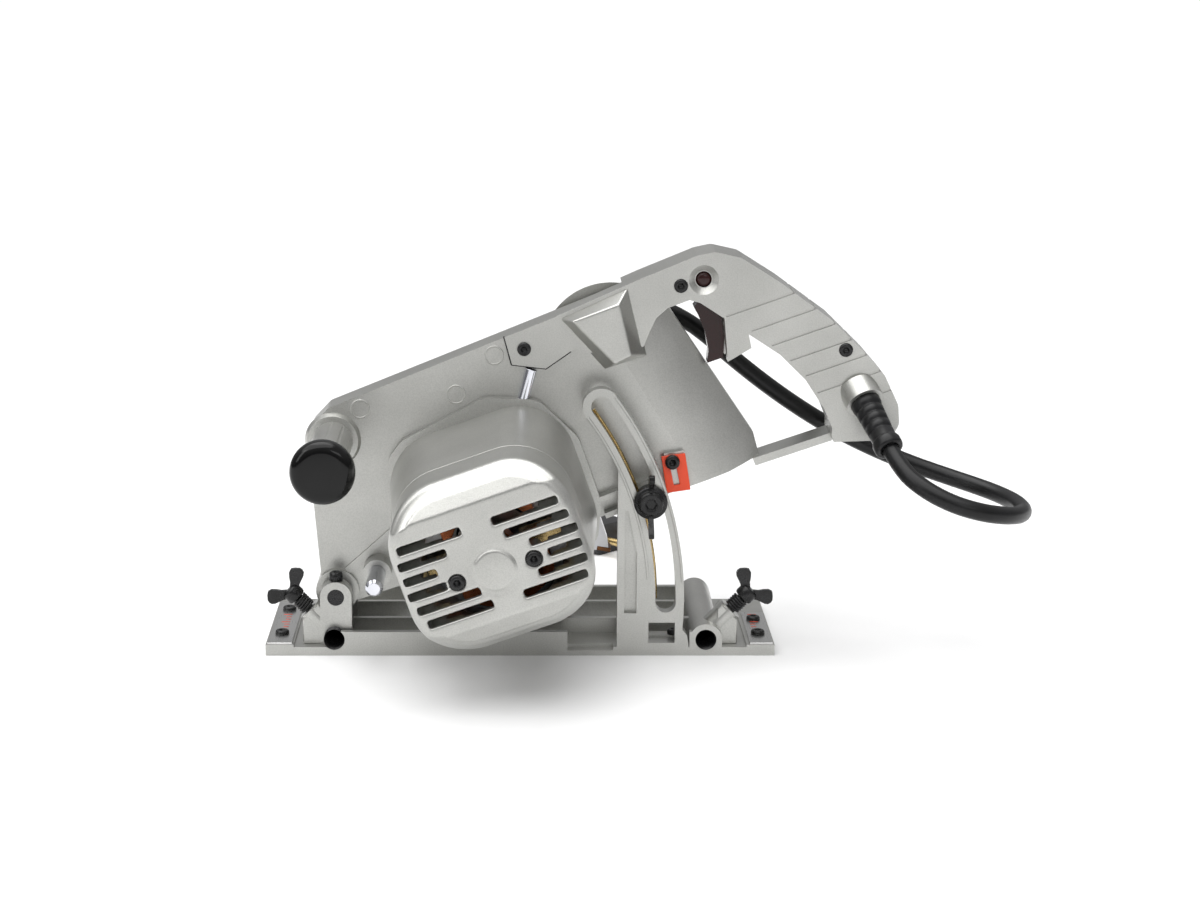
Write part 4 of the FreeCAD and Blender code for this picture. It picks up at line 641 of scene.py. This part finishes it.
wing_nut = new_piece("clamp_wing_nut", gathered(forms), "black_steel", "depth_clamp", "depth_clamp_knob")
round_off(wing_nut, 0.6)


# Castings with rounder corners than their CAD solids
def cast_copy(name, node, body, voxel, smoothing, shape=None):
    """A fine copy of a CAD node with its edges melted. shape(point) moves points of the level unit."""
    mesh = frame["nodes"][node].data.copy()
    thing = bpy.data.objects.new("cast", mesh)
    bpy.context.scene.collection.objects.link(thing)
    weld = thing.modifiers.new("weld", "WELD")
    weld.merge_threshold = 0.005 * MM
    remesh = thing.modifiers.new("remesh", "REMESH")
    remesh.mode = "VOXEL"
    remesh.voxel_size = voxel * MM
    smooth = thing.modifiers.new("smooth", "SMOOTH")
    smooth.factor = 0.5
    smooth.iterations = smoothing
    work = bmesh.new()
    cast = meshed(thing)
    work.from_mesh(cast)
    bpy.data.objects.remove(thing)
    if shape:
        to_level = UNIT.inverted()
        for vert in work.verts:
            vert.co = UNIT @ (shape(to_level @ vert.co / MM) * MM)
    return new_piece(name, work, NODE_SLOTS[node], body, node)


# Motor end cover: a flat face with sloped ends, inside a rounded rectangle about its axis
END_ALONG, END_ABOVE = 102.5, 14.4
END_FACE, DISC_FACE, DISC_SPACE = -107, -106.9, 14
SLOPE_DROP = 14
UPPER_SLOPE, LOWER_SLOPE = (36, 60), (-24, -50)
CORNER_ALONG, CORNER_LOW, CORNER_HIGH, CORNER_RADIUS = 17.5, -9, 19, 33
END_RADIUS = 7


def rounded_end(point):
    """Moves a point of the end cover onto a round rim between its face and its sides."""
    along, up = point.x - END_ALONG, point.z - END_ABOVE
    if math.hypot(along, up) < DISC_SPACE and point.y < DISC_FACE:
        return Vector((point.x, DISC_FACE, point.z))
    slopes = [(up - start) * SLOPE_DROP / (end - start) for start, end in (UPPER_SLOPE, LOWER_SLOPE)]
    front = END_FACE + max(0, *slopes)
    centre = Vector((max(-CORNER_ALONG, min(CORNER_ALONG, along)), max(CORNER_LOW, min(CORNER_HIGH, up))))
    outward = Vector((along, up)) - centre
    reach = outward.length
    if reach < 1:
        return point
    beside = reach - CORNER_RADIUS + END_RADIUS
    above = END_RADIUS - (point.y - front)
    if beside <= 0 or above <= 0:
        return point
    size = math.hypot(beside, above)
    if size <= END_RADIUS:
        return point
    outward *= (CORNER_RADIUS - END_RADIUS + beside * END_RADIUS / size) / reach
    return Vector((END_ALONG + centre.x + outward.x, front + END_RADIUS - above * END_RADIUS / size,
                   END_ABOVE + centre.y + outward.y))


cast_copy("motor_end_cap", "motor_end_cover", "cutting_unit", 0.85, 3, rounded_end)
cast_copy("wiring_box", "wiring_cover", "cutting_unit", 0.6, 9)


# Depth quadrant: raised rims, and the brass strip behind its slot
def arc_strip(inner, outer, first, last, low, high, steps=40):
    """A band round the hinge pin: radii and levels in millimetres, angles in degrees."""
    turns = [math.radians(first + (last - first) * step / steps) for step in range(steps + 1)]
    outline = [(inner, turn) for turn in turns] + [(outer, turn) for turn in turns[::-1]]
    return plate(outline, low, high, lambda radius, turn, level: at_base(
        PIN.x / MM + radius * math.cos(turn), level, PIN.z / MM + radius * math.sin(turn)))


TOP_DEGREES = 36.7
rims = [arc_strip(196.4, 197.9, 3, TOP_DEGREES, -0.8, 0.3),
        arc_strip(177.1, 178.6, 4, TOP_DEGREES, -0.8, 0.3)]
round_off(new_piece("quadrant_rims", gathered(rims), "cast_silver", "base"), 0.35)
strip = [arc_strip(179.4, 181.7, -0.4, TOP_DEGREES, 7.9, 9.6),
         arc_strip(181.6, 183.1, -0.4, TOP_DEGREES, 9, 9.6)]
new_piece("quadrant_strip", gathered(strip), "brass", "base")

# Base: black sleeves inside the guide bores, painted shade that keeps the bores dark, and the blocks under the
# wing bolts
BLOCK = [(112.4, 5), (124, 5), (124, 19.4), (115.2, 28.2), (112.4, 25.4)]
bore_shade_sleeves, blocks = [], []
for side in (-1, 1):
    bore_shade_sleeves.append(placed(spun([(6, 0.6), (6, 97.4), (5.9, 97.4), (5.9, 0.6)], hollow=True),
                          at_base(side * BORE_ALONG, 0, BORE_ABOVE), NEAR_TO_FAR))
    blocks.append(plate(BLOCK, 6.5, 19.5, lambda a, b, level: at_base(side * a, level, b)))
new_piece("bore_painted_shade", gathered(bore_shade_sleeves), "black_steel", "base")
round_off(new_piece("bolt_blocks", gathered(blocks), "cast_silver", "base"), 0.8)

# Scale plates: short red strokes
strokes = []
STROKE_WIDTH = 0.5
for side in (-1, 1):
    for index in range(7):
        length = 5 if index % 3 == 0 else 3
        outline = [(0, 0), (length, 0), (length, STROKE_WIDTH), (0, STROKE_WIDTH)]
        strokes.append(plate(outline, 7.55, 7.75, lambda a, b, level: at_base(
            side * (134.5 + a), 26 + index * 5 + b, level)))
new_piece("scale_strokes", gathered(strokes), "orange_paint", "base")

# Gear case: ring marks left by the casting, and a black strip along the left and lower edges of the handle's
# bracket, painted shadow of the gap there
MARK = [(5.6, 0), (5.6, 0.25), (5.2, 0.35), (4.8, 0.35), (4.6, 0.15), (4.6, 0)]
marks = []
for along, above in ((130.8, 98.9), (103, 84.9), (48.8, 95.2)):
    marks.append(placed(spun(MARK), in_unit(along, 24.05, above), -NEAR_TO_FAR))
new_piece("case_marks", gathered(marks), "cast_silver", "cutting_unit")
BRACKET_SHADOW_LINE = [Vector(point) for point in ((140, 107), (138.8, 91), (156, 82.5), (172, 87))]
BRACKET_SHADOW_WIDTH = 0.8
bracket_shadows = []
for start, end in zip(BRACKET_SHADOW_LINE, BRACKET_SHADOW_LINE[1:]):
    ahead = (end - start).normalized() * BRACKET_SHADOW_WIDTH
    beside = Vector((ahead.y, -ahead.x))
    first, last = start - ahead / 2, end + ahead / 2
    outline = [first, last, last + beside, first + beside]
    bracket_shadows.append(plate(outline, 22.6, 24.1, lambda along, above, level: in_unit(along, level, above)))
new_piece("bracket_painted_shadow", gathered(bracket_shadows), "black_steel", "cutting_unit")

# Motor end cover: the dished disc on its axis
DISC = [(1, 0), (9.4, 0), (10.2, 0.12), (10.8, 0.5), (11.4, 1), (12.3, 1.2), (12.5, 1.6)]
new_piece("end_disc", placed(spun(DISC, 64), in_unit(END_ALONG, END_FACE - 1, END_ABOVE), NEAR_TO_FAR),
          "cast_silver", "cutting_unit")


# ---------------------------------------------------------------- floor and light
def floor():
    """A wide pale floor with a faint unevenness of tone."""
    work = bmesh.new()
    bmesh.ops.create_grid(work, x_segments=1, y_segments=1, size=15)
    mesh = bpy.data.meshes.new("floor")
    work.to_mesh(mesh)
    work.free()
    thing = bpy.data.objects.new("floor", mesh)
    bpy.context.scene.collection.objects.link(thing)
    material, nodes, links, shader = new_material("floor")
    pale = ramp(nodes, links, noise(nodes, links, 60, 3), (0.90, 0.90, 0.90), (0.93, 0.93, 0.93))
    links.new(pale, shader.inputs["Base Color"])
    shader.inputs["Roughness"].default_value = 0.7
    thing.data.materials.append(material)


def lamp(name, place, target, size, power):
    """A soft rectangular lamp that faces its target."""
    light = bpy.data.lights.new(name, "AREA")
    light.shape = "RECTANGLE"
    light.size, light.size_y = size
    light.energy = power
    made = bpy.data.objects.new(name, light)
    made.location = place
    made.rotation_euler = (Vector(target) - Vector(place)).to_track_quat("-Z", "Y").to_euler()
    bpy.context.scene.collection.objects.link(made)


def sky_light():
    """Even light from overhead, so the floor is as white far away as it is near."""
    light = bpy.data.lights.new("sky_light", "SUN")
    light.energy = 2.3
    light.angle = math.radians(75)
    made = bpy.data.objects.new("sky_light", light)
    made.rotation_euler = Vector((0.25, 0.15, -1)).to_track_quat("-Z", "Y").to_euler()
    bpy.context.scene.collection.objects.link(made)


def studio():
    """A bright ceiling over darker walls, so that glossy pieces keep their contrast."""
    world = bpy.data.worlds.new("studio")
    world.use_nodes = True
    nodes, links = world.node_tree.nodes, world.node_tree.links
    place = nodes.new("ShaderNodeTexCoord")
    split = nodes.new("ShaderNodeSeparateXYZ")
    links.new(place.outputs["Generated"], split.inputs["Vector"])
    shade = ramp(nodes, links, split.outputs["Z"], (0.30, 0.30, 0.31), (1, 1, 1), 0.05, 0.6)
    links.new(shade, nodes["Background"].inputs["Color"])
    nodes["Background"].inputs["Strength"].default_value = 0.55
    bpy.context.scene.world = world


floor()
lamp("top_light", (-0.1, 0.2, 1.2), (0, 0, 0.1), (1.0, 0.8), 3.5)
lamp("left_light", (-1.4, -0.9, 0.9), (0, 0, 0.12), (0.5, 1.0), 4)
lamp("front_light", (0.7, -1.7, 1.0), (0, 0, 0.12), (0.8, 0.4), 2)
sky_light()
studio()
bpy.context.scene.view_settings.view_transform = "Standard"
